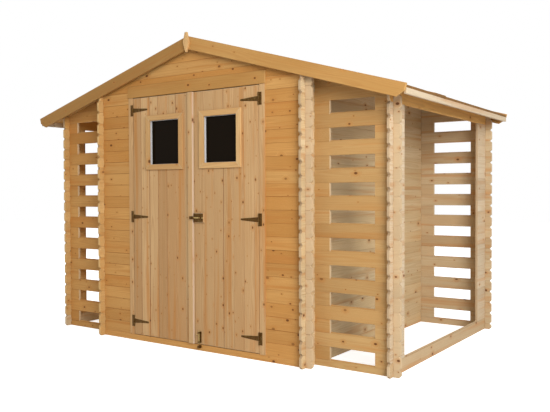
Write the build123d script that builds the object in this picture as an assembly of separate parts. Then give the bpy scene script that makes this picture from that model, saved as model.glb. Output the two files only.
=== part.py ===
"""Timber garden shed with double doors and an open slatted log store on each side.

Built from tongued boards that are notched and crossed at the corners. Lengths are in
millimetres. X runs along the front, Y from the doors to the back, Z up. The origin lies on
the ground under the middle of the whole building.
"""
import os
from math import cos, radians, sin, tan

from build123d import *

# Boards and crossed corners
course = 88.0            # cover height of one wall board
wall_thick = 19.0        # thickness of a wall board
end_reach = 60.0         # board ends stand past the middle plane of the wall they cross
inner_reach = 60.0       # store boards stand into the shed past the middle plane of its side wall
nick = 15.0              # chamfer on the corners of every board end

# Plan
shed_width = 1876.0      # between the middle planes of the shed's side walls
shed_depth = 1890.0      # between the middle planes of the front and back walls
store_width = 555.0      # from a side wall to the outer crossing of its log store
store_setback = 114.0    # the store's front wall stands behind the shed's front wall
front_stub_length = 160.0   # outer corner boards run inwards from the store wall they cross
back_stub_length = 200.0

# Slots in the store walls
slot_inner_gap = 124.0   # from the side wall's middle plane to the slot
slot_outer_gap = 113.0   # from the outer crossing's middle plane to the slot
tongue_thick = 6.0       # tongue on the upper edge of a board, where a slot bares it
tongue_height = 8.0
groove_play = 0.6        # a groove is this much wider and deeper than the tongue

# Roof
roof_pitch = 16.2        # degrees
eave_overhang = 162.0    # outer crossing's middle plane to the edge of the deck
roof_overhang = 60.0     # gable wall's middle plane to the outer face of the barge boards
deck_thick = 16.0
barge_width = 90.0
barge_thick = 18.0
barge_chamfer = 45.0
barge_past_deck = 4.0    # barge board ends stand past the deck at the eaves
barge_over_deck = 10.0   # upper edges of the barge boards stand above the deck
fascia_drop = 34.0
fascia_thick = 18.0
ridge_beam_width = 45.0
ridge_beam_height = 95.0
eaves_rail_height = 105.0
courses_over_eaves_rail = 2   # from the eaves rail's foot to the top of the doorway
finial_top = 24.0        # above the peak of the barge boards
finial_bottom = 116.0    # below it
finial_half_width = 31.0
finial_tip_half = 11.0
finial_thick = 18.0

# Doorway and frame
doorway_half_width = 592.0
doorway_courses = 21     # height of the doorway in boards
jamb_width = 45.0
jamb_cheek = 8.0         # thickness of jamb on each face of the wall
jamb_groove = 12.0       # depth of the groove that takes the board ends
head_height = 88.0
head_thick = 12.0
head_past_jamb = 6.0

# Door leaves
leaf_gap = 5.0
meeting_gap = 2.5        # between the two leaves
leaf_thick = 18.0
meeting_line = 21.5      # middle of the gap between the leaves
meeting_batten_width = 47.0
meeting_batten_thick = 18.0
ledge_height = 75.0
ledge_thick = 18.0
ledge_end_gap = 30.0
window_centre = 263.0    # from the middle of the shed
window_width = 290.0
window_height = 325.0
window_drop = 180.0      # from the top of the leaf to the window opening
trim_width = 40.0
trim_thick = 15.0
bead_thick = 18.0
pane_thick = 3.0
pane_lap = 10.0

# Hinges
upper_hinge_drop = 91.0  # from the top of the leaf to the upper hinge
lower_hinge_rise = 101.0
strap_length = 150.0
strap_root = 34.0
strap_tip = 12.0
plate_height = 85.0
plate_width = 22.0
hinge_sheet = 2.5
knuckle_radius = 4.5
pin_radius = 2.0
pin_clearance = 0.1
knuckle_gap = 1.0
knuckle_stand_off = 0.5  # behind the knuckles, to the face of the frame
bar_sides = 10           # flats on small round bars and bores

# Bolts
bolt_height = 950.0      # middle of the centre bolt
bolt_radius = 5.0
bolt_clearance = 0.3
bolt_travel = 18.0
bolt_length = 98.0
bolt_from_meeting = 4.5  # from the edge of the right leaf to the tip of the drawn bolt
bolt_plate_length = 86.0
bolt_plate_height = 62.0
guide_length = 10.0
guide_wall = 4.0
knob_radius = 4.0
knob_height = 20.0
keeper_clearance = 1.0
keeper_length = 12.0
keeper_edge_gap = 2.0
plate_margin = 2.0       # packer past its plate, and plate past its guides
foot_bolt_radius = 4.0
foot_bolt_offset = 44.5  # from the meeting line to the foot bolt
foot_bolt_travel = 20.0
foot_bolt_length = 96.0
foot_plate_width = 30.0
foot_plate_length = 81.0
foot_keeper_height = 18.0
foot_keeper_drop = 4.0   # below the top of the sill

cut_past = 1.0           # cutting tools run this far past the wood, and joints lie further apart

# Worked out from the sizes above
slope = tan(radians(roof_pitch))
half_wall = wall_thick / 2
neck = course / 2         # height that a board keeps where it crosses another
notch = (course - neck) / 2
side_x = shed_width / 2
outer_x = side_x + store_width
roof_reach = outer_x + eave_overhang
front_y = -shed_depth / 2
back_y = shed_depth / 2
store_y = front_y + store_setback
sill_top = course / 2
doorway_top = doorway_courses * course
gable_bottom = (doorway_courses - 0.5) * course
deck_rise = deck_thick / cos(radians(roof_pitch))
barge_inner_front = front_y - roof_overhang + barge_thick
barge_inner_back = back_y + roof_overhang - barge_thick
jamb_outer = doorway_half_width + jamb_width
board_end = jamb_outer - jamb_groove
frame_face = front_y - half_wall - jamb_cheek
leaf_back = frame_face + leaf_thick
leaf_bottom = sill_top + leaf_gap
leaf_top = doorway_top - leaf_gap
leaf_outer = doorway_half_width - leaf_gap
hinge_axis_x = doorway_half_width - leaf_gap / 2
hinge_axis_y = frame_face - knuckle_radius - knuckle_stand_off
hinge_heights = (leaf_bottom + lower_hinge_rise, (leaf_bottom + leaf_top) / 2, leaf_top - upper_hinge_drop)
window_top = leaf_top - window_drop
window_bottom = window_top - window_height
batten_face = frame_face - meeting_batten_thick
top_rail_courses = doorway_courses - courses_over_eaves_rail
top_rail_bottom = top_rail_courses * course
ridge_height = top_rail_bottom + eaves_rail_height + deck_rise + slope * (outer_x - half_wall)
barge_ridge = ridge_height + barge_over_deck
slot_courses = (top_rail_courses + 1) // 2
slot_start = side_x + slot_inner_gap
slot_end = outer_x - slot_outer_gap
store_inner = side_x - inner_reach


def roof_top(x):
    """Height of the upper face of the roof deck at x."""
    return ridge_height - slope * abs(x)


def roof_under(x):
    """Height of the underside of the roof deck at x."""
    return roof_top(x) - deck_rise


def block(x0, x1, y0, y1, z0, z1):
    """Upright box between two corners."""
    return Pos((x0 + x1) / 2, (y0 + y1) / 2, (z0 + z1) / 2) * Box(abs(x1 - x0), abs(y1 - y0), abs(z1 - z0))


def pierced_face(plane, points, holes):
    """Flat face with rectangular holes, each given as low and high along the plane and in Z."""
    outer = Wire(plane * Polyline(*points, close=True))
    inner = []
    for u0, u1, z0, z1 in holes:
        inner.append(Wire(plane * Polyline((u0, z0), (u1, z0), (u1, z1), (u0, z1), close=True)))
    return Face(outer, inner)


def slab_along_y(points, y0, y1, holes=()):
    """Outline in X and Z with holes, carried from y0 to y1."""
    plane = Plane(origin=(0, y1, 0), x_dir=(1, 0, 0), z_dir=(0, -1, 0))
    return extrude(pierced_face(plane, points, holes), y1 - y0, dir=(0, -1, 0))


def slab_along_x(points, x0, x1, holes=()):
    """Outline in Y and Z with holes, carried from x0 to x1."""
    plane = Plane(origin=(x0, 0, 0), x_dir=(0, 1, 0), z_dir=(1, 0, 0))
    return extrude(pierced_face(plane, points, holes), x1 - x0, dir=(1, 0, 0))


def cut(body, tools):
    """Body less a list of tools, which may be empty."""
    return body - tools if tools else body


def box_on_x_wall(y_wall, hole, thick=2 * wall_thick):
    """Box on a wall along X, over a hole given as low and high in X and in Z."""
    x0, x1, z0, z1 = hole
    return block(x0, x1, y_wall - thick / 2, y_wall + thick / 2, z0, z1)


def box_on_y_wall(x_wall, hole, thick=2 * wall_thick):
    """Box on a wall along Y, over a hole given as low and high in Y and in Z."""
    y0, y1, z0, z1 = hole
    return block(x_wall - thick / 2, x_wall + thick / 2, y0, y1, z0, z1)


def panel_along_x(points, y_wall, holes, foot, top):
    """Boards along X as one panel. Holes between foot and top are in its face, the rest are cut out."""
    closed = [hole for hole in holes if hole[2] > foot and hole[3] < top]
    opened = [hole for hole in holes if hole not in closed]
    panel = slab_along_y(points, y_wall - half_wall, y_wall + half_wall, closed)
    return cut(panel, [box_on_x_wall(y_wall, hole) for hole in opened])


def panel_along_y(points, x_wall, holes, foot, top):
    """Boards along Y as one panel. Holes between foot and top are in its face, the rest are cut out."""
    closed = [hole for hole in holes if hole[2] > foot and hole[3] < top]
    opened = [hole for hole in holes if hole not in closed]
    panel = slab_along_x(points, x_wall - half_wall, x_wall + half_wall, closed)
    return cut(panel, [box_on_y_wall(x_wall, hole) for hole in opened])


def nicked_edge(end, inward, z0, z1, first_joint):
    """Board ends from z0 up to z1, as points. A V nick lies at each board joint and at the foot."""
    points = [(end + inward * nick, z0), (end, z0 + nick)]
    joint = first_joint
    while joint < z1 - nick:
        if joint > z0 + nick:
            points += [(end, joint - nick), (end + inward * nick, joint), (end, joint + nick)]
        joint += course
    points.append((end, z1))
    return points


def joints_from(z0, offset):
    """Lowest board joint above z0, for joints at offset, offset + course and so on."""
    joint = offset
    while joint < z0 + cut_past:
        joint += course
    return joint


def cross_board_outline(x_left, x_right, z0, z1, left_nicks=True, right_nicks=True):
    """Outline of a wall along X: nicked ends, level foot, top at z1 or under the roof."""
    first = joints_from(z0, course / 2)
    z_left = roof_under(x_left) if z1 is None else z1
    z_right = roof_under(x_right) if z1 is None else z1
    if right_nicks:
        right = nicked_edge(x_right, -1, z0, z_right, first)
    else:
        right = [(x_right, z0), (x_right, z_right)]
    if left_nicks:
        left = nicked_edge(x_left, 1, z0, z_left, first)
    else:
        left = [(x_left, z0), (x_left, z_left)]
    points = right
    if z1 is None and x_left < 0 < x_right:
        points = points + [(0, roof_under(0))]
    return points + left[::-1]


def side_passages(x_wall, z0, z1):
    """Holes in a wall along X for the necks of the boards that cross it at x_wall."""
    lows = [level * course + notch for level in range(int(z1 / course) + 1)]
    spans = [(max(low, z0), min(low + neck, z1)) for low in lows]
    return [(x_wall - half_wall, x_wall + half_wall, low, high) for low, high in spans if high > low]


def front_passages(y_wall, z0, z1):
    """Holes in a wall along Y for the necks of the boards that cross it at y_wall."""
    lows = [level * course - neck / 2 for level in range(int(z1 / course) + 2)]
    spans = [(max(low, z0), min(low + neck, z1)) for low in lows]
    return [(y_wall - half_wall, y_wall + half_wall, low, high) for low, high in spans if high > low]


def tongue(hole):
    """Tongue of the board under a hole, as a hole of its own height."""
    return hole[0], hole[1], hole[2], hole[2] + tongue_height


def groove(hole):
    """Groove of the board over a hole, as a hole of its own height."""
    return hole[0], hole[1], hole[3], hole[3] + tongue_height + groove_play


def mirrored(solid):
    """The same piece on the other side of the building."""
    return mirror(solid, about=Plane.YZ)


def roof_prism():
    """All that lies over the underside of the deck."""
    under = roof_under(roof_reach)
    outline = [(-roof_reach, under), (0, roof_under(0)), (roof_reach, under), (roof_reach, ridge_height),
               (-roof_reach, ridge_height)]
    return slab_along_y(outline, front_y - end_reach - cut_past, back_y + end_reach + cut_past)


def ridge_beam():
    """Beam under the ridge, bevelled to both slopes, from barge board to barge board."""
    half = ridge_beam_width / 2
    foot = roof_under(0) - ridge_beam_height
    outline = [(-half, foot), (half, foot), (half, roof_under(half)), (0, roof_under(0)), (-half, roof_under(half))]
    return slab_along_y(outline, barge_inner_front, barge_inner_back)


def shed_front(beam):
    """Sill, the strips beside the doorway and the gable over it."""
    end = side_x + end_reach
    both = (-side_x, side_x)
    sill_outline = cross_board_outline(-end, end, 0, sill_top)
    sill_holes = [hole for x_wall in both for hole in side_passages(x_wall, 0, sill_top)]
    sill = panel_along_x(sill_outline, front_y, sill_holes, 0, sill_top)
    strip_outline = cross_board_outline(board_end, end, sill_top, gable_bottom, left_nicks=False)
    strip_holes = side_passages(side_x, sill_top, gable_bottom)
    strip = panel_along_x(strip_outline, front_y, strip_holes, sill_top, gable_bottom)
    gable_outline = cross_board_outline(-end, end, gable_bottom, None)
    gable_holes = [hole for x_wall in both for hole in side_passages(x_wall, gable_bottom, roof_under(side_x))]
    gable_holes.append((-board_end, board_end, gable_bottom - cut_past, doorway_top))
    gable = panel_along_x(gable_outline, front_y, gable_holes, gable_bottom, roof_under(side_x + half_wall))
    return sill, strip, mirrored(strip), gable - beam


def side_wall():
    """Right side wall of the shed, with passages for the front, store and back walls."""
    y0 = front_y - end_reach
    y1 = back_y + end_reach
    top = roof_under(side_x - half_wall) + cut_past
    first = joints_from(0, course)
    points = nicked_edge(y1, -1, 0, top, first) + nicked_edge(y0, 1, 0, top, first)[::-1]
    holes = [hole for y_wall in (front_y, store_y, back_y) for hole in front_passages(y_wall, 0, top + cut_past)]
    ends = [(y0 - cut_past, barge_inner_front), (barge_inner_back, y1 + cut_past)]
    holes += [(low, high, doorway_top, top + cut_past) for low, high in ends]
    return panel_along_y(points, side_x, holes, 0, doorway_top) - roof_prism()


def back_wall(beam):
    """Back wall with its gable. Every second board runs out to the edge of the store's slots."""
    wall_outline = cross_board_outline(-store_inner, store_inner, 0, None, False, False)
    wall = slab_along_y(wall_outline, back_y - half_wall, back_y + half_wall)
    fingers = [(-slot_start, slot_start, low, high) for low, high in slot_levels()]
    wall = wall + [box_on_x_wall(back_y, finger, wall_thick) for finger in fingers]
    holes = [hole for x_wall in (-side_x, side_x) for hole in side_passages(x_wall, 0, slot_levels()[-1][1])]
    return wall - [box_on_x_wall(back_y, hole) for hole in holes] - beam


def slot_levels():
    """Foot and top of each course that the short boards leave open."""
    feet = [course / 2 + 2 * course * level for level in range(slot_courses)]
    return [(foot, foot + course) for foot in feet]


def store_wall(y_wall, stub_edge, is_back):
    """Slatted wall of the right store with its corner of short boards, which end at stub_edge.

    At the back the shed's own boards fill the short courses as far as the slots.
    """
    slots = [(slot_start, slot_end, low, high) for low, high in slot_levels()]
    holes = side_passages(side_x, 0, roof_under(side_x))
    outer_top = roof_under(outer_x - half_wall) + cut_past
    rails = [(0, course), (top_rail_bottom, outer_top)]
    holes += [hole for low, high in rails for hole in side_passages(outer_x, low, high)]
    openings = [(store_inner - cut_past, slot_end, low, high) for low, high in slot_levels()] if is_back else slots
    wall_outline = cross_board_outline(store_inner, outer_x + end_reach, 0, None, left_nicks=False)
    lowest_top = roof_under(outer_x + half_wall)
    if is_back:
        panel = panel_along_x(wall_outline, y_wall, [], 0, lowest_top)
        panel = panel - [box_on_x_wall(y_wall, hole) for hole in holes + openings]
    else:
        panel = panel_along_x(wall_outline, y_wall, holes + openings, 0, lowest_top)
    panel = panel + [box_on_x_wall(y_wall, tongue(slot), tongue_thick) for slot in slots]
    panel = panel - [box_on_x_wall(y_wall, groove(slot), tongue_thick + groove_play) for slot in slots]
    if is_back:
        corner = outer_panel(stub_edge, y_wall + end_reach, course, top_rail_bottom, False, True)
    else:
        corner = outer_panel(y_wall - end_reach, stub_edge, course, top_rail_bottom, True, False)
    return panel + corner


def outer_panel(y0, y1, z0, z1, front_end, back_end, holes=()):
    """Boards of the right store's open side, in one plane, with nicked or square ends."""
    first = joints_from(z0, course)
    front = nicked_edge(y0, 1, z0, z1, first) if front_end else [(y0, z0), (y0, z1)]
    back = nicked_edge(y1, -1, z0, z1, first) if back_end else [(y1, z0), (y1, z1)]
    return panel_along_y(back + front[::-1], outer_x, holes, z0, min(z1, roof_under(outer_x + half_wall)))


def store_rails(front_stub_edge, back_stub_edge):
    """Bottom rail with its bared tongue and grooved eaves rail of the right store's open side."""
    y0 = store_y - end_reach
    y1 = back_y + end_reach
    top = roof_under(outer_x - half_wall) + cut_past
    open_side = (front_stub_edge, back_stub_edge, course, top_rail_bottom)
    low_holes = [hole for y_wall in (store_y, back_y) for hole in front_passages(y_wall, 0, course)]
    bottom_rail = outer_panel(y0, y1, 0, course, True, True, low_holes)
    bottom_rail = bottom_rail + box_on_y_wall(outer_x, tongue(open_side), tongue_thick)
    high_holes = [hole for y_wall in (store_y, back_y) for hole in front_passages(y_wall, top_rail_bottom, top)]
    top_rail = outer_panel(y0, barge_inner_back, top_rail_bottom, top, True, False, high_holes)
    top_rail = top_rail - box_on_y_wall(outer_x, groove(open_side), tongue_thick + groove_play)
    return bottom_rail, top_rail - roof_prism()


def door_frame():
    """Grooved jambs and the head board."""
    jamb = block(doorway_half_width, jamb_outer, frame_face, front_y + half_wall + jamb_cheek, sill_top, doorway_top)
    board_way = block(board_end, jamb_outer, front_y - half_wall, front_y + half_wall, sill_top - cut_past,
                      doorway_top + cut_past)
    right = jamb - board_way
    face = front_y - half_wall
    reach = jamb_outer + head_past_jamb
    head = block(-reach, reach, face - head_thick, face, doorway_top, doorway_top + head_height)
    return Compound([right, mirrored(right)]), head


def roof_deck():
    """Right half of the deck, plumb cut at the ridge and the eaves."""
    outline = [(0, roof_under(0)), (roof_reach, roof_under(roof_reach)), (roof_reach, roof_top(roof_reach)),
               (0, roof_top(0))]
    return slab_along_y(outline, barge_inner_front, barge_inner_back)


def barge_board(y0, y1):
    """Right barge board: mitred at the ridge, square at the eaves with its lower corner cut off."""
    end_x = roof_reach + barge_past_deck
    down = (-sin(radians(roof_pitch)), -cos(radians(roof_pitch)))
    back = (-cos(radians(roof_pitch)), sin(radians(roof_pitch)))
    square = barge_width - barge_chamfer
    top = (end_x, roof_top(end_x) + barge_over_deck)
    middle = (top[0] + square * down[0], top[1] + square * down[1])
    low = (top[0] + barge_width * down[0] + barge_chamfer * back[0],
           top[1] + barge_width * down[1] + barge_chamfer * back[1])
    plumb = barge_width / cos(radians(roof_pitch))
    return slab_along_y([(0, barge_ridge), (0, barge_ridge - plumb), low, middle, top], y0, y1)


def eave_fascia():
    """Strip under the edge of the right deck, between the barge boards."""
    inner = roof_reach - fascia_thick
    foot = roof_under(roof_reach) - fascia_drop
    outline = [(inner, foot), (roof_reach, foot), (roof_reach, roof_under(roof_reach)), (inner, roof_under(inner))]
    return slab_along_y(outline, barge_inner_front, barge_inner_back)


def finials():
    """Diamond boards over the mitres of the barge boards, front and back."""
    tip = barge_ridge + finial_top
    foot = barge_ridge - finial_bottom
    waist = (tip + foot) / 2
    half = [(finial_tip_half, foot), (finial_half_width, waist), (finial_tip_half, tip)]
    outline = half + [(-x, z) for x, z in half[::-1]]
    front = slab_along_y(outline, front_y - roof_overhang - finial_thick, front_y - roof_overhang)
    back = slab_along_y(outline, back_y + roof_overhang, back_y + roof_overhang + finial_thick)
    return Compound([front, back])


def window_hole(x_middle, y0, y1):
    """The opening of a door window through whatever lies between y0 and y1."""
    half = window_width / 2
    return block(x_middle - half, x_middle + half, y0 - cut_past, y1 + cut_past, window_bottom, window_top)


def window_frame(x_middle, margin, y0, y1):
    """Rectangular frame round a door window, as far as margin past its opening."""
    half = window_width / 2
    outer = block(x_middle - half - margin, x_middle + half + margin, y0, y1, window_bottom - margin,
                  window_top + margin)
    return outer - window_hole(x_middle, y0, y1)


def door_leaf(x_left, x_right, x_window):
    """Boards with the window cut through, battens behind, trim in front and the pane."""
    boards = block(x_left, x_right, frame_face, leaf_back, leaf_bottom, leaf_top)
    boards = boards - window_hole(x_window, frame_face, leaf_back)
    ledges = []
    for height in hinge_heights:
        ledges.append(block(x_left + ledge_end_gap, x_right - ledge_end_gap, leaf_back, leaf_back + ledge_thick,
                            height - ledge_height / 2, height + ledge_height / 2))
    bead = window_frame(x_window, trim_width, leaf_back, leaf_back + bead_thick)
    half = window_width / 2 + pane_lap
    pane = block(x_window - half, x_window + half, leaf_back, leaf_back + pane_thick, window_bottom - pane_lap,
                 window_top + pane_lap)
    trim = window_frame(x_window, trim_width, frame_face - trim_thick, frame_face)
    return boards, Compound(ledges + [bead - pane]), trim, pane


def round_bar(start, direction, length, radius, is_bore=False):
    """Small round bar from start, worked with flats. The flats of a bore lie at its radius."""
    profile = Plane(origin=start, z_dir=direction) * RegularPolygon(radius, bar_sides, major_radius=not is_bore)
    return extrude(profile, length, dir=direction)


def knuckle(z0, z1, radius, is_bore=False):
    """Upright round bar on the right hinge's axis."""
    return round_bar((hinge_axis_x, hinge_axis_y, z0), (0, 0, 1), z1 - z0, radius, is_bore)


def hinge_plates():
    """Right jamb's hinge plates, each with its upper and lower knuckles and the pin."""
    half = plate_height / 2
    eye = strap_root / 2 + knuckle_gap
    plates = []
    for height in hinge_heights:
        plate = block(doorway_half_width, doorway_half_width + plate_width, frame_face - hinge_sheet, frame_face,
                      height - half, height + half)
        for low, high in ((height - half, height - eye), (height + eye, height + half)):
            wing = block(hinge_axis_x, doorway_half_width, frame_face - hinge_sheet, frame_face - knuckle_stand_off,
                         low, high)
            plate = plate + wing + knuckle(low, high, knuckle_radius)
        plate = plate - knuckle(height - eye, height + eye, knuckle_radius + knuckle_gap, is_bore=True)
        plates.append(plate + knuckle(height - half, height + half, pin_radius))
    return plates


def hinge_straps():
    """Right leaf's tapered straps, each with its knuckle bored for the pin."""
    straps = []
    for height in hinge_heights:
        low = height - strap_root / 2
        high = height + strap_root / 2
        tip = strap_tip / 2
        tip_x = leaf_outer - strap_length
        outline = [(hinge_axis_x, low), (hinge_axis_x, high), (leaf_outer, high), (tip_x, height + tip),
                   (tip_x, height - tip), (leaf_outer, low)]
        strap = slab_along_y(outline, frame_face - hinge_sheet, frame_face)
        strap = strap - block(leaf_outer, hinge_axis_x + cut_past, frame_face - knuckle_stand_off,
                              frame_face + cut_past, low, high)
        strap = strap + knuckle(low, high, knuckle_radius)
        straps.append(strap - knuckle(low - cut_past, high + cut_past, pin_radius + pin_clearance, is_bore=True))
    return straps


def centre_bolt(leaf_edge, batten_edge):
    """Packer, guide plate and sliding bolt on the right leaf, and keeper on the meeting batten."""
    tip_x = leaf_edge + bolt_from_meeting
    plate_x = tip_x + plate_margin
    plate_end = plate_x + bolt_plate_length
    half = bolt_plate_height / 2
    plate_face = batten_face - hinge_sheet
    guide_half = bolt_radius + guide_wall
    axis_y = plate_face - guide_half
    packer = block(plate_x - plate_margin, plate_end + plate_margin, batten_face, frame_face,
                   bolt_height - half - plate_margin, bolt_height + half + plate_margin)
    plate = block(plate_x, plate_end, plate_face, batten_face, bolt_height - half, bolt_height + half)
    last_guide = plate_end - plate_margin - guide_length
    for x0 in (plate_x + plate_margin, last_guide):
        plate = plate + block(x0, x0 + guide_length, axis_y - guide_half, plate_face, bolt_height - guide_half,
                              bolt_height + guide_half)
    bore_start = (plate_x - cut_past, axis_y, bolt_height)
    plate = plate - round_bar(bore_start, (1, 0, 0), bolt_plate_length + 2 * cut_past, bolt_radius + bolt_clearance,
                              is_bore=True)
    rod = round_bar((tip_x, axis_y, bolt_height), (1, 0, 0), bolt_length, bolt_radius)
    knob_start = (last_guide - knob_radius - plate_margin, axis_y, bolt_height)
    knob = round_bar(knob_start, (0, -1, 0), bolt_radius + knob_height, knob_radius)
    keeper_end = batten_edge - keeper_edge_gap
    way = bolt_radius + keeper_clearance
    keeper_half = way + guide_wall
    keeper = block(keeper_end - keeper_length, keeper_end, axis_y - keeper_half, batten_face,
                   bolt_height - keeper_half, bolt_height + keeper_half)
    way_box = block(keeper_end - keeper_length - cut_past, keeper_end + cut_past, axis_y - way, axis_y + way,
                    bolt_height - way, bolt_height + way)
    return packer, plate, rod + knob, keeper - way_box


def foot_bolt():
    """Guide plate and drop bolt at the foot of the right leaf, and keeper on the sill."""
    x = meeting_line + foot_bolt_offset
    plate_face = frame_face - hinge_sheet
    guide_half = foot_bolt_radius + guide_wall
    axis_y = plate_face - guide_half
    tip = leaf_bottom + leaf_gap
    plate_low = tip + leaf_gap
    plate_high = plate_low + foot_plate_length
    half = foot_plate_width / 2
    plate = block(x - half, x + half, plate_face, frame_face, plate_low, plate_high)
    upper_guide = plate_high - plate_margin - guide_length
    for z0 in (plate_low + plate_margin, upper_guide):
        plate = plate + block(x - guide_half, x + guide_half, axis_y - guide_half, plate_face, z0, z0 + guide_length)
    plate = plate - round_bar((x, axis_y, plate_low - cut_past), (0, 0, 1), foot_plate_length + 2 * cut_past,
                              foot_bolt_radius + bolt_clearance, is_bore=True)
    rod = round_bar((x, axis_y, tip), (0, 0, 1), foot_bolt_length, foot_bolt_radius)
    knob_start = (x, axis_y, upper_guide - knob_radius - plate_margin)
    knob = round_bar(knob_start, (0, -1, 0), foot_bolt_radius + knob_height, knob_radius)
    way = foot_bolt_radius + keeper_clearance
    keeper_half = way + guide_wall
    keeper_top = sill_top - foot_keeper_drop
    keeper_low = keeper_top - foot_keeper_height
    keeper = block(x - keeper_half, x + keeper_half, axis_y - keeper_half, front_y - half_wall, keeper_low, keeper_top)
    way_box = block(x - way, x + way, axis_y - way, axis_y + way, keeper_low - cut_past, keeper_top + cut_past)
    return plate, rod + knob, keeper - way_box


nodes = {}


def add_pair(name, right):
    """Right piece and its mirror image on the left, as two nodes."""
    nodes[name.format("right")] = right
    nodes[name.format("left")] = mirrored(right)


beam = ridge_beam()
nodes["ridge_beam"] = beam
nodes["front_sill"], nodes["front_wall_right"], nodes["front_wall_left"], nodes["front_gable"] = shed_front(beam)
nodes["back_wall"] = back_wall(beam)
add_pair("{}_side_wall", side_wall())

front_stub_edge = store_y + front_stub_length
back_stub_edge = back_y - back_stub_length
add_pair("{}_store_front", store_wall(store_y, front_stub_edge, False))
add_pair("{}_store_back", store_wall(back_y, back_stub_edge, True))
right_bottom_rail, right_top_rail = store_rails(front_stub_edge, back_stub_edge)
add_pair("{}_bottom_rail", right_bottom_rail)
add_pair("{}_top_rail", right_top_rail)

nodes["door_jambs"], nodes["door_head"] = door_frame()
add_pair("{}_roof_deck", roof_deck())
add_pair("front_{}_barge", barge_board(front_y - roof_overhang, barge_inner_front))
add_pair("back_{}_barge", barge_board(barge_inner_back, back_y + roof_overhang))
add_pair("{}_eave_fascia", eave_fascia())
nodes["finials"] = finials()

left_leaf_edge = meeting_line - meeting_gap / 2
right_leaf_edge = meeting_line + meeting_gap / 2
leaf_parts = ("boards", "battens", "window_trim", "pane")
for part_name, piece in zip(leaf_parts, door_leaf(right_leaf_edge, leaf_outer, window_centre)):
    nodes["right_door_" + part_name] = piece
for part_name, piece in zip(leaf_parts, door_leaf(-leaf_outer, left_leaf_edge, -window_centre)):
    nodes["left_door_" + part_name] = piece
nodes["meeting_batten"] = block(left_leaf_edge - meeting_batten_width, left_leaf_edge, batten_face, frame_face,
                                leaf_bottom, leaf_top)
right_plates = hinge_plates()
nodes["hinge_plates"] = Compound(right_plates + [mirrored(plate) for plate in right_plates])
right_straps = hinge_straps()
nodes["right_door_straps"] = Compound(right_straps)
nodes["left_door_straps"] = Compound([mirrored(strap) for strap in right_straps])
nodes["bolt_packer"], nodes["bolt_plate"], nodes["bolt_rod"], nodes["bolt_keeper"] = centre_bolt(
    right_leaf_edge, left_leaf_edge)
nodes["foot_bolt_plate"], nodes["foot_bolt_rod"], nodes["foot_bolt_keeper"] = foot_bolt()

os.makedirs("parts", exist_ok=True)
for node_name, solid in nodes.items():
    export_step(solid, os.path.join("parts", node_name + ".step"))
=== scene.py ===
"""Timber garden shed with a slatted log store on each side.

Lengths are in metres unless a property says otherwise. X runs along the front, Y from the doors
to the back, Z up. Every wall, roof and door board is a plank of its own, cut to the same courses
and crossings as the frame's solids.
"""

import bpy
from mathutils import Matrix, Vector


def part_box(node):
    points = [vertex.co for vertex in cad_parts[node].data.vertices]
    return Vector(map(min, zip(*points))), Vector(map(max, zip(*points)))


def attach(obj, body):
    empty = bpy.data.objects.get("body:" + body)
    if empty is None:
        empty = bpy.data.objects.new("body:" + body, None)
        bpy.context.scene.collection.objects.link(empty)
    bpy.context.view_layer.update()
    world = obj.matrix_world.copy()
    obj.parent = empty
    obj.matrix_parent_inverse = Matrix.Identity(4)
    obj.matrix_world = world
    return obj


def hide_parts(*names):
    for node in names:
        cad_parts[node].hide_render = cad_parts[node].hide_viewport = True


bl_info = {
    "name": "Garden shed with log stores",
    "version": (1, 0, 0),
    "blender": (4, 5, 0),
    "location": "3D View > Sidebar > Shed",
    "description": "Boards, roof, doors and fittings of a timber shed with slatted log stores",
    "category": "Object",
}
import math

import bpy
import numpy as np
from mathutils import Matrix, Vector

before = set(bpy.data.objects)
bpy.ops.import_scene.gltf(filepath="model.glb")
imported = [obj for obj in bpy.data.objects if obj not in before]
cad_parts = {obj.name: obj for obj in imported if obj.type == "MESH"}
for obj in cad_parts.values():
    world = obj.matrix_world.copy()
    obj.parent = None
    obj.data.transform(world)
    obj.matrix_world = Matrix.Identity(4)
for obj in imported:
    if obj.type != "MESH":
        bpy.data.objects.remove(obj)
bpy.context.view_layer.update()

# Courses, crossings and roof
COURSE = 0.088
END_REACH = 0.060
STORE_INNER_REACH = 0.060
SLOT_INNER_GAP = 0.124
SLOT_OUTER_GAP = 0.113
FRONT_STUB_LENGTH = 0.160
BACK_STUB_LENGTH = 0.200
DOORWAY_COURSES = 21
TOP_RAIL_COURSES = 19
NICK = 0.015
NOTCH_PLAY = 0.0004
ROOF_PITCH = math.radians(16.2)
SPRUNG_BOARDS = (-0.52, -0.33)

# Doorway and door leaves
LEAF_GAP = 0.005
TRIM_WIDTH = 0.040
LINER_ARRIS = 0.0002
LEDGE_HEIGHT = 0.075
LEDGE_END_GAP = 0.030
UPPER_HINGE_DROP = 0.091
LOWER_HINGE_RISE = 0.101

# Hinges
HINGE_SHEET = 0.0025
SHEET_EDGE = 0.0004
KNUCKLE_RADIUS = 0.0045
KNUCKLE_STAND_OFF = 0.0005
KNUCKLE_GAP = 0.001
PIN_RADIUS = 0.002
PIN_BORE = 0.0021
PLATE_WIDTH = 0.022
PLATE_HEIGHT = 0.085
PLATE_SCREW = 0.0038
PLATE_SCREW_SHARE = 0.55
PLATE_SCREW_SPACING = 0.031
STRAP_LENGTH = 0.150
STRAP_ROOT = 0.034
STRAP_TIP = 0.012
STRAP_SCREW = 0.0034

# Corner and face of a strap's tip, as shares of its half height there
STRAP_NOSE = (0.5, 0.6)

# Screws of a strap, as shares of its length and heights over its middle
STRAP_SCREWS = ((0.10, 0.008), (0.10, -0.008), (0.5, 0.0), (0.9, 0.0))

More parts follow.
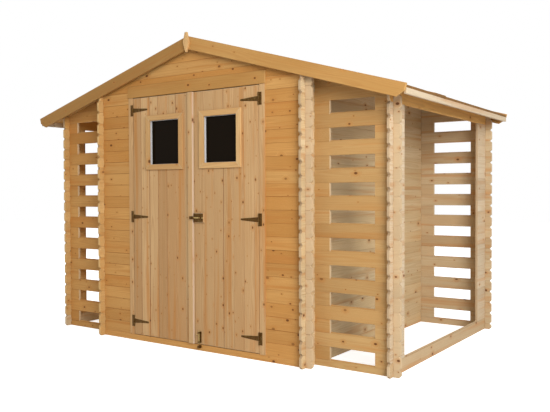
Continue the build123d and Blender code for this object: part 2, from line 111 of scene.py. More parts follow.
# Bolts. The chamfer is a share of the radius
BOLT_RADIUS = 0.005
FOOT_BOLT_RADIUS = 0.004
BOLT_PLAY = 0.0003
KEEPER_PLAY = 0.001
GUIDE_WALL = 0.004
GUIDE_LENGTH = 0.010
GUIDE_INSET = 0.002
BOLT_CHAMFER = 0.3
KNOB_RADIUS = 0.004
BOLT_SCREW = 0.003
BOLT_SCREW_INSET = 0.0055

# Height of a screw head as a share of its radius
SCREW_RISE = 0.35

# Turned shapes, as shares of the radius and of the height, and how finely shapes are divided
SCREW_PROFILE = ((0, -0.25), (1, -0.25), (1, 0.25), (0.8, 0.8), (0.45, 1), (0.3, 1), (0.18, 0.3),
                 (0, 0.3))
KNOB_PROFILE = ((0, 0), (0.7, 0), (0.7, 0.7), (1, 0.78), (1, 0.94), (0.7, 1), (0, 1))
BAR_SIDES = 20
KNOB_SIDES = 16
SCREW_SIDES = 14
ARCH_STEPS = 12
SMOOTH_ANGLE = math.radians(35)

# Limits in the making of outlines, and shares of an edge's run along the grain: a sawn end has less
# than the first, a long edge more than the second, a nick lies between them
TINY = 1e-9
SHARPEST_CORNER = 0.4
NICK_EDGE = 0.5
LONG_EDGE = 0.8

# Places read from the frame
side_wall_low, side_wall_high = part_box("right_side_wall")
store_low, store_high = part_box("right_store_front")
deck_low, deck_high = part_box("right_roof_deck")
barge_low, barge_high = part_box("front_right_barge")
HALF_WALL = (side_wall_high.x - side_wall_low.x) / 2
SIDE_X = (side_wall_low.x + side_wall_high.x) / 2
FRONT_Y = side_wall_low.y + END_REACH
BACK_Y = side_wall_high.y - END_REACH
STORE_Y = store_low.y + END_REACH
OUTER_X = store_high.x - END_REACH
BOARD_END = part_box("front_wall_right")[0].x
RIDGE_Z = deck_high.z
BARGE_RIDGE_Z = barge_high.z
ROOF_REACH = deck_high.x
SLOPE = math.tan(ROOF_PITCH)
DECK_RISE = deck_low.z - (RIDGE_Z - SLOPE * ROOF_REACH)
SLOT_START = SIDE_X + SLOT_INNER_GAP
SLOT_END = OUTER_X - SLOT_OUTER_GAP
STORE_INNER = SIDE_X - STORE_INNER_REACH
DOORWAY_TOP = DOORWAY_COURSES * COURSE
TOP_RAIL_Z = TOP_RAIL_COURSES * COURSE
STUB_FRONT = STORE_Y + FRONT_STUB_LENGTH
STUB_BACK = BACK_Y - BACK_STUB_LENGTH
SIDES = ((-1, "left"), (1, "right"))

# Directions of an outline and of what it is carried along, and of the grain
X_AXIS, Y_AXIS, Z_AXIS = np.eye(3)
FACING_FRONT = (X_AXIS, Z_AXIS, -Y_AXIS)
FACING_SIDE = (Y_AXIS, Z_AXIS, X_AXIS)
FACING_UP = (X_AXIS, Y_AXIS, Z_AXIS)
GRAIN_X = (X_AXIS, Z_AXIS, Y_AXIS)
GRAIN_Y = (Y_AXIS, Z_AXIS, X_AXIS)
GRAIN_Z = (Z_AXIS, X_AXIS, Y_AXIS)

# Marks that every board carries for its finish; the joint and tone marks also carry painted shade
BOARD_MARKS = {
    "grain": ("FLOAT_VECTOR", "POINT", "vector"),
    "tone": ("FLOAT", "POINT", "value"),
    "end_grain": ("FLOAT", "FACE", "value"),
    "joint": ("FLOAT", "FACE", "value"),
}

# How far a board's middle lies from its heart line, along, across and through the grain
HEART_ALONG = (-40, 40)
HEART_ACROSS = (-0.05, 0.05)
HEART_DEPTH = (0.025, 0.09)

# Knots: cells per metre, their stretch along the grain, radii, and how the finish fades round them
KNOT_CELLS = (5.0, 13.0, 0.0)
KNOT_STRETCH = (1 / 7.5, 1 / 13.0, 0.0)
KNOT_RADII = (0.0026, 0.0088)
SMALL_KNOT_POWER = 1.6
KNOT_EDGE = (0.7, 1.2)
HALO_EDGE = (0.9, 4.0)
HALO_SHARE = 0.5
KNOT_PUSH = 1.6
KNOT_SHARE = 0.9
LIVE_KNOTS = (0.55, 0.75)
LIVE_KNOT_FADE = -0.35
KNOT_DEPTH = 0.0003

# Growth rings: spacing, wander, and where the late wood starts and ends in a ring
RING_SPACING = 0.0052
RING_WANDER = 0.040
RING_RIPPLE = 0.0020
LATE_START = (0.25, 0.85)
LATE_END = (0.9, 1.0)
LATE_HEIGHT = 0.00012
LATE_SHINE = -0.10

# Uneven parts of the wood: scale along and across the grain, detail and roughness of each
WOOD_NOISE = {
    "wander": (0.9, 6.0, 2.0, 0.45),
    "ripple": (4.0, 60.0, 1.0, 0.40),
    "fibre": (9.0, 700.0, 2.0, 0.60),
    "streak": (0.8, 24.0, 3.0, 0.55),
    "vein": (1.6, 95.0, 2.0, 0.50),
    "cloud": (1.8, 5.0, 1.0, 0.50),
}
STREAKS = (0.50, 0.70)
VEINS = (0.64, 0.76)
VEIN_SHARE = 0.45
FIBRES = (0.25, 0.75)
FIBRE_TONES = (0.94, 1.05)
FIBRE_HEIGHT = 0.00016
BOARD_SPREAD = 1.1
BOARD_SHIFT = -0.55
TONE_STEP = 0.07

# Strengths of the wood's finish, with painted shade in the nicks and joints and on the left barge boards
END_SHARE = 0.8
TIP_SHARE = 0.85
# The nicks take the joint colour as painted shade
NICK_SHADE = 0.65
# Colour that the joints multiply in: dirt and painted shade in the grooves, painted shade in the nicks
JOINT_DIRT_AND_SHADE = (0.36, 0.22, 0.13, 1)
FAINT_JOINT = 0.05
JOINT_POWER = 1.5
MEETING_JOINT = 0.1
# Tone of the barge boards by side: the left ones darker as painted shade, as the light falls off to the left
BARGE_PAINTED_SHADES = {-1: -3.4, 1: 0.0}
WOOD_ROUGHNESS = 0.66
END_ROUGHNESS = 0.15
WOOD_GLOSS = 0.12
BUMP_STRENGTH = 0.6

# Pines: colours of the pale wood, the deep wood and the rings, then strengths of the rings, the
# blush, the knots and the joints
PINES = {
    "wall_pine": ("wall", "wall_deep", "ring", 0.34, 0.85, 0.95, 0.80),
    # Paler and greyer than the front boards: painted light, the whiter light from the right on sideways faces
    "side_lit_pine": ("side", "side_deep", "side_ring", 0.30, 0.40, 0.50, 0.35),
    # Pale as painted light from the right, and warmer and deeper as painted shade inside the store
    "bay_lit_shaded_pine": ("bay", "bay_deep", "side_ring", 0.30, 0.50, 0.50, 0.35),
    # Deeper and more golden than the right side pines: painted shade on the left, away from the light
    "left_shaded_pine": ("left", "left_deep", "side_ring", 0.30, 0.50, 0.50, 0.35),
    # Brighter than the front boards: painted light on the top rails and ridge beam, which sit in the roof's
    # shadow
    "rail_lit_pine": ("rail", "rail_deep", "ring", 0.28, 0.45, 0.50, 0.30),
    # Paler and greyer than the front boards: painted fill light on the back walls and rails
    "inner_lit_pine": ("inner", "inner_deep", "side_ring", 0.32, 0.50, 0.50, 0.45),
    "store_pine": ("store", "store_deep", "ring", 0.28, 0.45, 0.65, 0.30),
    "roof_pine": ("roof", "roof_deep", "ring", 0.28, 0.40, 0.45, 0.30),
    "deck_pine": ("roof", "roof_deep", "ring", 0.28, 0.40, 0.45, 0.50),
    "door_pine": ("door", "door_deep", "door_ring", 0.40, 0.70, 0.70, 0.75),
    "trim_pine": ("trim", "trim_deep", "door_ring", 0.30, 0.35, 0.30, 0.25),
    # Pale edges of the meeting batten: painted light from the right
    "batten_lit_pine": ("batten", "batten", "door_ring", 0.25, 0.30, 0.20, 0.0),
    # Thin lining of the window openings whose pale grey is a painted highlight, the bright sheen on the
    # reveals
    "liner_highlight": ("liner", "liner", "liner", 0.10, 0.0, 0.0, 0.0),
}
# The roof boards' ends at the eaves are near black, painted shade in the gap under the roof's edge
PINE_ENDS = {"side_lit_pine": "column_end", "bay_lit_shaded_pine": "column_end", "left_shaded_pine": "left", "roof_pine": "roof",
             "deck_pine": "eaves_edge_shade"}
PINE_KNOT_SPREADS = {"door_pine": 1.5, "roof_pine": 0.9, "deck_pine": 0.9}

# Boards of these pines are paler where they reach past this distance to the right
PALE_TIPS = {"wall_pine": SIDE_X + HALF_WALL, "store_pine": OUTER_X + HALF_WALL}

# Metals: colours of the plain and worn steel, and its roughness
METALS = {
    "aged_bronze": ("bronze", "bronze_worn", 0.42),
    "rubbed_brass": ("bolt", "bolt_worn", 0.35),
}

# Plated steel: scale, detail and roughness of its blotches and specks, and how worn it is
BLOTCHES = (60.0, 3.0, 0.6)
SPECKS = (900.0, 2.0, 0.5)
WORN_BLOTCHES = (0.45, 0.72)
WEAR = 0.5
POLISH_SWING = 0.3
SPECK_HEIGHT = 0.00005
METAL_SHARE = 0.5
METAL_GLOSS = 0.2

# Window glass: scale, detail and roughness of its waves and dust
GLASS_WAVES = (3.0, 1.0, 0.4)
GLASS_WAVE_HEIGHT = 0.0004
GLASS_BUMP = 0.2
GLASS_DUST = (40.0, 3.0, 0.6)
DUST_RANGE = (0.3, 0.8, 0.04, 0.12)
GLASS_GLOSS = 0.04

# Stage
FLOOR_COLOUR = (0.8, 0.8, 0.8, 1)
FLOOR_ROUGHNESS = 0.9
WHITE = (1, 1, 1, 1)
ZENITH_HEIGHT = 0.8
PHOTO_WIDTH = 550
SENSOR_WIDTH = 36.0
CAMERA_REACH = 100.0


def roof_under(x):
    """Underside of the roof deck at x: ridge height less slope times distance, less the deck."""
    return RIDGE_Z - SLOPE * abs(x) + DECK_RISE


# Node trees

class Nodes:
    """Places nodes in a tree and links or fills their sockets."""

    ROW = 9
    STEP = (190, -210)
    MIX_SOCKETS = (0, 6, 7)

    def __init__(self, tree):
        self.tree = tree

    def add(self, kind, inputs=None, **settings):
        """Node of a kind, its settings made and its inputs filled."""
        node = self.tree.nodes.new(kind)
        row, column = divmod(len(self.tree.nodes), self.ROW)
        node.location = (self.STEP[0] * column, self.STEP[1] * row)
        for name, value in settings.items():
            setattr(node, name, value)
        for name, value in (inputs or {}).items():
            self.fill(node.inputs[name], value)
        return node

    def fill(self, socket, value):
        """Links a socket to another, or sets its value."""
        if isinstance(value, bpy.types.NodeSocket):
            self.tree.links.new(value, socket)
        else:
            socket.default_value = value

    def math(self, operation, *values):
        """Result of a sum on one, two or three values."""
        return self.add("ShaderNodeMath", dict(enumerate(values)), operation=operation).outputs[0]

    def times(self, first, second):
        """Product of two values."""
        return self.math("MULTIPLY", first, second)

    def vector(self, operation, *values):
        """Vector result of a sum on vectors."""
        return self.add("ShaderNodeVectorMath", dict(enumerate(values)), operation=operation).outputs[0]

    def size_of(self, vector):
        """Length of a vector."""
        return self.add("ShaderNodeVectorMath", {0: vector}, operation="LENGTH").outputs["Value"]

    def split(self, vector):
        """The three parts of a vector."""
        return self.add("ShaderNodeSeparateXYZ", {"Vector": vector}).outputs

    def ramp(self, value, low, high, start=0.0, end=1.0):
        """Smooth step of a value from low to high."""
        inputs = {"Value": value, "From Min": low, "From Max": high, "To Min": start, "To Max": end}
        return self.add("ShaderNodeMapRange", inputs, interpolation_type="SMOOTHSTEP").outputs[0]

    def mix(self, share, first, second, blend="MIX"):
        """Mix of two colours by a share."""
        node = self.add("ShaderNodeMix", data_type="RGBA", blend_type=blend)
        for socket, value in zip(self.MIX_SOCKETS, (share, first, second)):
            self.fill(node.inputs[socket], value)
        return node.outputs[2]

    def noise(self, place, scale, detail, rough):
        """Noise value at a place."""
        inputs = {"Vector": place, "Scale": scale, "Detail": detail, "Roughness": rough}
        return self.add("ShaderNodeTexNoise", inputs).outputs[0]

    def mark(self, name, output="Fac"):
        """A mark that the boards carry."""
        return self.add("ShaderNodeAttribute", attribute_name=name).outputs[output]

    def place(self):
        """Place on the object."""
        return self.add("ShaderNodeTexCoord").outputs["Object"]

    def bump(self, height, strength):
        """Normal raised by a height."""
        inputs = {"Height": height, "Strength": strength, "Distance": 1.0}
        return self.add("ShaderNodeBump", inputs).outputs["Normal"]

    def seen(self):
        """One for rays that show a surface straight, mirrored or through glass, otherwise nothing."""
        path = self.add("ShaderNodeLightPath").outputs
        mirrored_or_through = self.math("MAXIMUM", path["Is Glossy Ray"], path["Is Transmission Ray"])
        return self.math("MAXIMUM", path["Is Camera Ray"], mirrored_or_through)


def new_group(name, inputs):
    """Empty node group that puts out a surface, as its nodes, its inputs and its output node."""
    tree = bpy.data.node_groups.new(name, "ShaderNodeTree")
    for socket_name, kind in inputs.items():
        tree.interface.new_socket(name=socket_name, in_out="INPUT", socket_type="NodeSocket" + kind)
    for socket_name, kind in (("Colour", "Color"), ("Roughness", "Float"), ("Height", "Float")):
        tree.interface.new_socket(name=socket_name, in_out="OUTPUT", socket_type="NodeSocket" + kind)
    nodes = Nodes(tree)
    return nodes, nodes.add("NodeGroupInput").outputs, nodes.add("NodeGroupOutput")


def put_out(nodes, end, colour, rough, height):
    """Fills a group's outputs."""
    for name, value in (("Colour", colour), ("Roughness", rough), ("Height", height)):
        nodes.fill(end.inputs[name], value)


def sawn_pine_group():
    """Group for sawn pine: growth rings round a heart line, knots with bent grain, fibres and stains.

    The ring number is the distance from the heart line over the ring spacing. Round each knot the
    rings are pushed out by a smooth step of the distance to it. Each board's own number picks its
    share of the deep colour.
    """
    inputs = {"Grain": "Vector"}
    inputs.update(dict.fromkeys(("Pale", "Deep", "Ring", "Blush", "Knot", "End"), "Color"))
    inputs.update(dict.fromkeys(("Tone", "End grain", "Ring strength", "Blush strength", "Knot share",
                                 "Knot spread", "Joint", "Tip"), "Float"))
    nodes, given, end = new_group("Sawn pine", inputs)
    grain = given["Grain"]
    noise = {name: nodes.noise(nodes.vector("MULTIPLY", grain, (along, across, across)), 1.0, detail, rough)
             for name, (along, across, detail, rough) in WOOD_NOISE.items()}

    scaled = nodes.add("ShaderNodeVectorMath", {0: grain, "Scale": given["Knot spread"]}, operation="SCALE")
    cells = nodes.vector("MULTIPLY", scaled.outputs[0], KNOT_CELLS)
    knots = nodes.add("ShaderNodeTexVoronoi", {"Vector": cells, "Scale": 1.0, "Randomness": 1.0},
                      voronoi_dimensions="2D").outputs
    offset = nodes.vector("MULTIPLY", nodes.vector("SUBTRACT", knots["Position"], cells), KNOT_STRETCH)
    pick = nodes.add("ShaderNodeSeparateColor", {"Color": knots["Color"]}).outputs
    chosen = nodes.math("LESS_THAN", pick[0], given["Knot share"])
    radius = nodes.ramp(nodes.math("POWER", pick[1], SMALL_KNOT_POWER), 0.0, 1.0, *KNOT_RADII)
    near = nodes.math("DIVIDE", nodes.size_of(offset), radius)
    knot = nodes.times(nodes.ramp(near, *KNOT_EDGE, 1.0, 0.0), chosen)
    halo = nodes.times(nodes.ramp(near, *HALO_EDGE, 1.0, 0.0), chosen)
    push = nodes.times(nodes.times(halo, radius), KNOT_PUSH)

    _, across, through = nodes.split(grain)
    from_heart = nodes.size_of(nodes.add("ShaderNodeCombineXYZ", {"Y": across, "Z": through}).outputs[0])
    warp = nodes.math("MULTIPLY_ADD", noise["wander"], RING_WANDER, nodes.times(noise["ripple"], RING_RIPPLE))
    reach = nodes.math("ADD", nodes.math("ADD", from_heart, warp), push)
    phase = nodes.math("FRACT", nodes.math("DIVIDE", reach, RING_SPACING))
    late = nodes.times(nodes.ramp(phase, *LATE_START), nodes.ramp(phase, *LATE_END, 1.0, 0.0))

    board = nodes.add("ShaderNodeTexWhiteNoise", {"W": given["Tone"]}, noise_dimensions="1D").outputs["Value"]
    deep = nodes.math("ADD", noise["cloud"], nodes.math("MULTIPLY_ADD", board, BOARD_SPREAD, BOARD_SHIFT))
    deep = nodes.math("MINIMUM", nodes.math("MAXIMUM", deep, 0.0), 1.0)
    blush = nodes.times(nodes.ramp(noise["streak"], *STREAKS), given["Blush strength"])
    vein = nodes.times(nodes.ramp(noise["vein"], *VEINS), VEIN_SHARE)
    pale = nodes.math("MAXIMUM", nodes.times(given["End grain"], END_SHARE), given["Tip"])
    tone = nodes.math("MULTIPLY_ADD", given["Tone"], TONE_STEP, 1.0)
    tone = nodes.times(tone, nodes.ramp(noise["fibre"], *FIBRES, *FIBRE_TONES))
    grey = nodes.add("ShaderNodeCombineXYZ", dict.fromkeys("XYZ", tone)).outputs[0]
    flat = nodes.math("SUBTRACT", 1.0, given["End grain"])
    live = nodes.ramp(pick[2], *LIVE_KNOTS)
    halo_share = nodes.times(nodes.times(halo, flat), HALO_SHARE)
    knot_share = nodes.times(nodes.times(knot, flat),
                             nodes.math("MULTIPLY_ADD", live, LIVE_KNOT_FADE, KNOT_SHARE))
    colour = given["Pale"]
    # The last mix lays in the joint colour: dirt and painted shade along the long edges, painted shade in the
    # nicks
    for share, second, blend in ((deep, given["Deep"], "MIX"),
                                 (nodes.times(late, given["Ring strength"]), given["Ring"], "MIX"),
                                 (blush, given["Blush"], "MIX"), (vein, given["Ring"], "MIX"),
                                 (pale, given["End"], "MIX"), (1.0, grey, "MULTIPLY"),
                                 (halo_share, given["Blush"], "MIX"), (knot_share, given["Knot"], "MIX"),
                                 (given["Joint"], JOINT_DIRT_AND_SHADE, "MULTIPLY")):
        colour = nodes.mix(share, colour, second, blend)
    rough = nodes.math("MULTIPLY_ADD", given["End grain"], END_ROUGHNESS, WOOD_ROUGHNESS)
    rough = nodes.math("MULTIPLY_ADD", late, LATE_SHINE, rough)
    height = nodes.math("MULTIPLY_ADD", late, LATE_HEIGHT, nodes.times(noise["fibre"], FIBRE_HEIGHT))
    height = nodes.math("SUBTRACT", height, nodes.times(knot, KNOT_DEPTH))
    put_out(nodes, end, colour, rough, height)


def handled_metal_group():
    """Group for plated steel: blotches of two colours, fine specks and a varying polish."""
    inputs = {"Place": "Vector", "Base": "Color", "Worn": "Color", "Polish": "Float"}
    nodes, given, end = new_group("Handled metal", inputs)
    cloud = nodes.noise(given["Place"], *BLOTCHES)
    speck = nodes.noise(given["Place"], *SPECKS)
    worn = nodes.times(nodes.ramp(cloud, *WORN_BLOTCHES), WEAR)
    colour = nodes.mix(worn, given["Base"], given["Worn"])
    swing = nodes.times(nodes.math("SUBTRACT", cloud, 0.5), POLISH_SWING)
    put_out(nodes, end, colour, nodes.math("ADD", given["Polish"], swing), nodes.times(speck, SPECK_HEIGHT))


def new_material(name):
    """Material with an empty tree, its nodes and its shader."""
    if name in bpy.data.materials:
        raise ValueError(f"the frame already has a material named {name}")
    material = bpy.data.materials.new(name)
    material.use_nodes = True
    material.node_tree.nodes.clear()
    nodes = Nodes(material.node_tree)
    output = nodes.add("ShaderNodeOutputMaterial")
    shader = nodes.add("ShaderNodeBsdfPrincipled")
    material.node_tree.links.new(shader.outputs[0], output.inputs[0])
    return nodes, shader


def opaque(paint):
    """Colour with its fourth part."""
    return tuple(paint) + (1,)


def surface_from_group(nodes, shader, group, inputs):
    """Puts a group in a material and takes colour, roughness and bump from it."""
    surface = nodes.add("ShaderNodeGroup", inputs, node_tree=bpy.data.node_groups[group]).outputs
    nodes.fill(shader.inputs["Base Color"], surface["Colour"])
    nodes.fill(shader.inputs["Roughness"], surface["Roughness"])
    nodes.fill(shader.inputs["Normal"], nodes.bump(surface["Height"], BUMP_STRENGTH))


def pine_material(name, pale, deep, ring, rings, blushes, knots, joints):
    """Sawn pine that reads a board's own grain, tone, end grain and joints."""
    colours = bpy.context.scene.shed_colours
    nodes, shader = new_material(name)
    paints = {"Pale": pale, "Deep": deep, "Ring": ring, "Blush": "blush", "Knot": "knot",
              "End": PINE_ENDS.get(name, "end_grain")}
    inputs = {socket: opaque(getattr(colours, paint)) for socket, paint in paints.items()}
    inputs.update({
        "Grain": nodes.mark("grain", "Vector"), "Tone": nodes.mark("tone"),
        "End grain": nodes.mark("end_grain"), "Joint": nodes.times(nodes.mark("joint"), joints),
        "Ring strength": rings, "Blush strength": blushes, "Knot share": knots,
        "Knot spread": PINE_KNOT_SPREADS.get(name, 1.0)})
    if name in PALE_TIPS:
        past = nodes.math("GREATER_THAN", nodes.split(nodes.place())["X"], PALE_TIPS[name])
        inputs["Tip"] = nodes.times(past, TIP_SHARE)
    surface_from_group(nodes, shader, "Sawn pine", inputs)
    shader.inputs["Specular IOR Level"].default_value = WOOD_GLOSS


def metal_material(name, base, worn, polish):
    """Plated steel that reads the piece's own place."""
    colours = bpy.context.scene.shed_colours
    nodes, shader = new_material(name)
    surface_from_group(nodes, shader, "Handled metal", {
        "Place": nodes.place(), "Base": opaque(getattr(colours, base)),
        "Worn": opaque(getattr(colours, worn)), "Polish": polish})
    shader.inputs["Metallic"].default_value = METAL_SHARE
    shader.inputs["Specular IOR Level"].default_value = METAL_GLOSS


def glass_material(name):
    """Dark window glass with a faint unevenness and some dust."""
    nodes, shader = new_material(name)
    place = nodes.place()
    height = nodes.times(nodes.noise(place, *GLASS_WAVES), GLASS_WAVE_HEIGHT)
    nodes.fill(shader.inputs["Normal"], nodes.bump(height, GLASS_BUMP))
    nodes.fill(shader.inputs["Roughness"], nodes.ramp(nodes.noise(place, *GLASS_DUST), *DUST_RANGE))
    # The near-black colour is painted shade, the dark inside of the shed behind the pane
    shader.inputs["Base Color"].default_value = opaque(bpy.context.scene.shed_colours.glass)
    shader.inputs["Specular IOR Level"].default_value = GLASS_GLOSS


def finishes():
    """All groups and materials of the shed."""
    sawn_pine_group()
    handled_metal_group()
    for name, values in PINES.items():
        pine_material(name, *values)
    for name, values in METALS.items():
        metal_material(name, *values)
    glass_material("dark_glass")


# Planks

def nicked_outline(x0, x1, z0, z1, crossings=(), low=True, high=True, nick_left=True, nick_right=True):
    """Board outline, anticlockwise: a rectangle whose ends lose a 45 degree nick at each corner.

    A nick takes a third of a low board at most. At each crossing a notch a quarter of a course deep
    is taken from the lower edge, the upper edge or both, as wide as the wall that crosses and a
    small play.
    """
    half = HALF_WALL + NOTCH_PLAY
    depth = COURSE / 4 + NOTCH_PLAY
    cuts = np.array(sorted(c for c in crossings if x0 < c - half and c + half < x1)).reshape(-1, 1, 1)
    steps = np.array([[-half, 0.0], [-half, 1.0], [half, 1.0], [half, 0.0]])
    rises = np.broadcast_to(steps[:, 1:], (len(cuts), 4, 1))
    notches = np.concatenate([cuts + steps[:, :1], rises], axis=2).reshape(-1, 2)
    nick = min(NICK, (z1 - z0) / 3)
    right = [(x1 - nick, z0), (x1, z0 + nick), (x1, z1 - nick), (x1 - nick, z1)]
    left = [(x0 + nick, z1), (x0, z1 - nick), (x0, z0 + nick), (x0 + nick, z0)]
    parts = []
    if low:
        parts.append(notches * [1, depth] + [0, z0])
    parts.append(np.array(right if nick_right else [(x1, z0), (x1, z1)]))
    if high:
        parts.append(notches[::-1] * [1, -depth] + [0, z1])
    parts.append(np.array(left if nick_left else [(x0, z1), (x0, z0)]))
    return np.concatenate(parts)


def clipped(outline, normal, limit):
    """Part of an outline on the low side of a line: points kept, and one point where an edge crosses."""
    beyond = outline @ np.array(normal) - limit
    beyond_next = np.roll(beyond, -1)
    crosses = (beyond < 0) != (beyond_next < 0)
    share = np.where(crosses, beyond / np.where(crosses, beyond - beyond_next, 1.0), 0.0)
    meets = outline + share[:, None] * (np.roll(outline, -1, axis=0) - outline)
    both = np.stack([outline, meets], axis=1).reshape(-1, 2)
    return both[np.stack([beyond < 0, crosses], axis=1).reshape(-1)]


def under_roof(outline):
    """Outline in X and Z, less what lies over the underside of either slope."""
    top = roof_under(0)
    return clipped(clipped(outline, (SLOPE, 1), top), (-SLOPE, 1), top)


def box_outline(a0, a1, b0, b1):
    """Rectangle, anticlockwise."""
    return np.array([(a0, b0), (a1, b0), (a1, b1), (a0, b1)])


def mirrored(outline, side):
    """Outline of the right side for side 1, or its mirror image, still anticlockwise, for side -1."""
    return outline if side > 0 else (outline * [-1, 1])[::-1]


def inset(outline, amount):
    """Outline moved inwards: each point goes along the mean of its two edges' inward normals."""
    edge = np.roll(outline, -1, axis=0) - outline
    edge = edge / np.maximum(np.linalg.norm(edge, axis=1, keepdims=True), TINY)
    inward = np.stack([-edge[:, 1], edge[:, 0]], axis=1)
    before = np.roll(inward, 1, axis=0)
    closeness = np.sum(inward * before, axis=1, keepdims=True)
    return outline + amount * (inward + before) / np.maximum(1 + closeness, SHARPEST_CORNER)


class Solids:
    """Solids gathered into one mesh."""

    def __init__(self, name):
        self.name = name
        self.points = []
        self.faces = []
        self.count = 0

    def gather(self, points, *faces):
        """Adds points and rows of faces between them."""
        for rows in faces:
            self.faces += (rows + self.count).tolist()
        self.points.append(points)
        self.count += len(points)

    def carry(self, outline, axes, low, high, bevel):
        """Carries an outline from low to high along the third axis, its rims bevelled.

        Three rings of side faces go between four rings of points, then come the two ends.
        """
        narrow = inset(outline, bevel)
        rings = [(narrow, low), (outline, low + bevel), (outline, high - bevel), (narrow, high)]
        points = np.concatenate([ring @ axes[:2] + level * axes[2] for ring, level in rings])
        size = len(outline)
        here = np.arange(size)
        ahead = np.roll(here, -1)
        quads = np.stack([here, ahead, ahead + size, here + size], axis=1)
        sides = np.concatenate([quads + ring * size for ring in range(3)])
        self.gather(points, sides, np.stack([here[::-1], here + 3 * size]))
        return points

    def mesh(self):
        """Mesh of all that was gathered."""
        mesh = bpy.data.meshes.new(self.name)
        mesh.from_pydata(np.concatenate(self.points).tolist(), [], self.faces)
        return mesh


class Timber(Solids):
    """Planks gathered into one mesh, with the marks that their finish reads.

    The seed starts the draws of each plank's heart line, joint and tone.
    """

    def __init__(self, name, seed):
        super().__init__(name)
        self.random = np.random.default_rng(seed)
        self.marks = {mark: [] for mark in BOARD_MARKS}
        self.finishes = []

    def add(self, outline, wall_axes, low, high, grain_axes, bevel=None, finish=0, rim_finish=None,
            nicks=0.0, shade=None, joints=None):
        """Plank: an outline carried from low to high along the third wall axis, its rims bevelled.

        wall_axes are the outline's two directions and the direction it is carried in. grain_axes
        are the directions along, across and through the grain. nicks is how dark the nicks of the
        ends are. shade and joints set the board's tone and how dark its long edges are, which are
        random otherwise.
        """
        if bevel is None:
            bevel = bpy.context.scene.shed_sizes.arris
        axes = np.array(wall_axes)
        grain_axes = np.array(grain_axes)
        points = self.carry(outline, axes, low, high, bevel)
        size = len(outline)
        self.finishes += [finish if rim_finish is None else rim_finish] * 3 * size + [finish] * 2
        heart = np.array([self.random.uniform(*HEART_ALONG), self.random.uniform(*HEART_ACROSS),
                          self.random.choice([-1.0, 1.0]) * self.random.uniform(*HEART_DEPTH)])
        middle = (points.min(axis=0) + points.max(axis=0)) / 2
        edge_run = (np.roll(outline, -1, axis=0) - outline) @ axes[:2] @ grain_axes.T
        share = np.abs(edge_run[:, 0]) / np.maximum(np.linalg.norm(edge_run, axis=1), TINY)
        carried_along = abs(axes[2] @ grain_axes[0]) > NICK_EDGE
        drawn_joint = self.random.uniform(FAINT_JOINT, 1.0) ** JOINT_POWER
        drawn_tone = self.random.uniform(-1, 1)
        if carried_along:
            end_grain = np.concatenate([np.zeros(3 * size), np.ones(2)])
            joint = np.zeros(3 * size + 2)
        else:
            end_grain = np.concatenate([np.tile(share < LONG_EDGE, 3), np.zeros(2)])
            # Nicks get painted shade, long edges dirt and painted shade in their grooves
            nick = nicks * ((share > NICK_EDGE) & (share < LONG_EDGE))
            rim = nick + (share > LONG_EDGE) * (drawn_joint if joints is None else joints)
            joint = np.concatenate([rim, nick, rim, np.zeros(2)])
        # A tone given for the board is painted shade
        tone = np.full(len(points), drawn_tone if shade is None else shade)
        grain = (points - middle) @ grain_axes.T + heart
        for mark, values in zip(BOARD_MARKS, (grain, tone, end_grain, joint)):
            self.marks[mark].append(values)

    def finish(self, materials, body, slot, nodes=()):
        """Mesh object of all planks, riding on its body and standing for the CAD nodes."""
        mesh = self.mesh()
        for name, (kind, domain, field) in BOARD_MARKS.items():
            mark = mesh.attributes.new(name, kind, domain)
            mark.data.foreach_set(field, np.concatenate(self.marks[name]).astype(np.float32).ravel())
        mesh.polygons.foreach_set("material_index", np.array(self.finishes, np.int32))
        mesh.update()
        placed(mesh, materials, body, nodes)


def new_object(name, data):
    """Object linked into the scene."""
    obj = bpy.data.objects.new(name, data)
    bpy.context.scene.collection.objects.link(obj)
    return obj


def placed(mesh, materials, body, nodes):
    """Puts a finished mesh in the scene with its materials, body, slot and the CAD nodes it stands for."""
    obj = new_object(mesh.name, mesh)
    for material in materials:
        mesh.materials.append(bpy.data.materials[material])
    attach(obj, body)
    if nodes:
        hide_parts(*nodes)


def x_board(timber, outline, y_wall):
    """Wall board along X, from its outline in X and Z."""
    timber.add(outline, FACING_FRONT, -y_wall - HALF_WALL, -y_wall + HALF_WALL, GRAIN_X)


def y_board(timber, outline, x_wall, finish=0):
    """Wall board along Y, from its outline in Y and Z."""
    # The nicks of the ends get painted shade
    timber.add(outline, FACING_SIDE, x_wall - HALF_WALL, x_wall + HALF_WALL, GRAIN_Y, finish=finish,
               nicks=NICK_SHADE)


def course_x(level):
    """Foot and top of a board along X. The lowest one is half a board."""
    return max(level - 0.5, 0) * COURSE, (level + 0.5) * COURSE


def courses_under(limit, start=0):
    """Level, foot and top of each board along X whose foot is lower than a limit."""
    return [(level, *course_x(level)) for level in range(start, math.ceil(limit / COURSE + 0.5))]


def y_wall_top(x_wall):
    """Height that the boards of a wall along Y reach under the roof."""
    return roof_under(x_wall + HALF_WALL)


# Walls of the shed

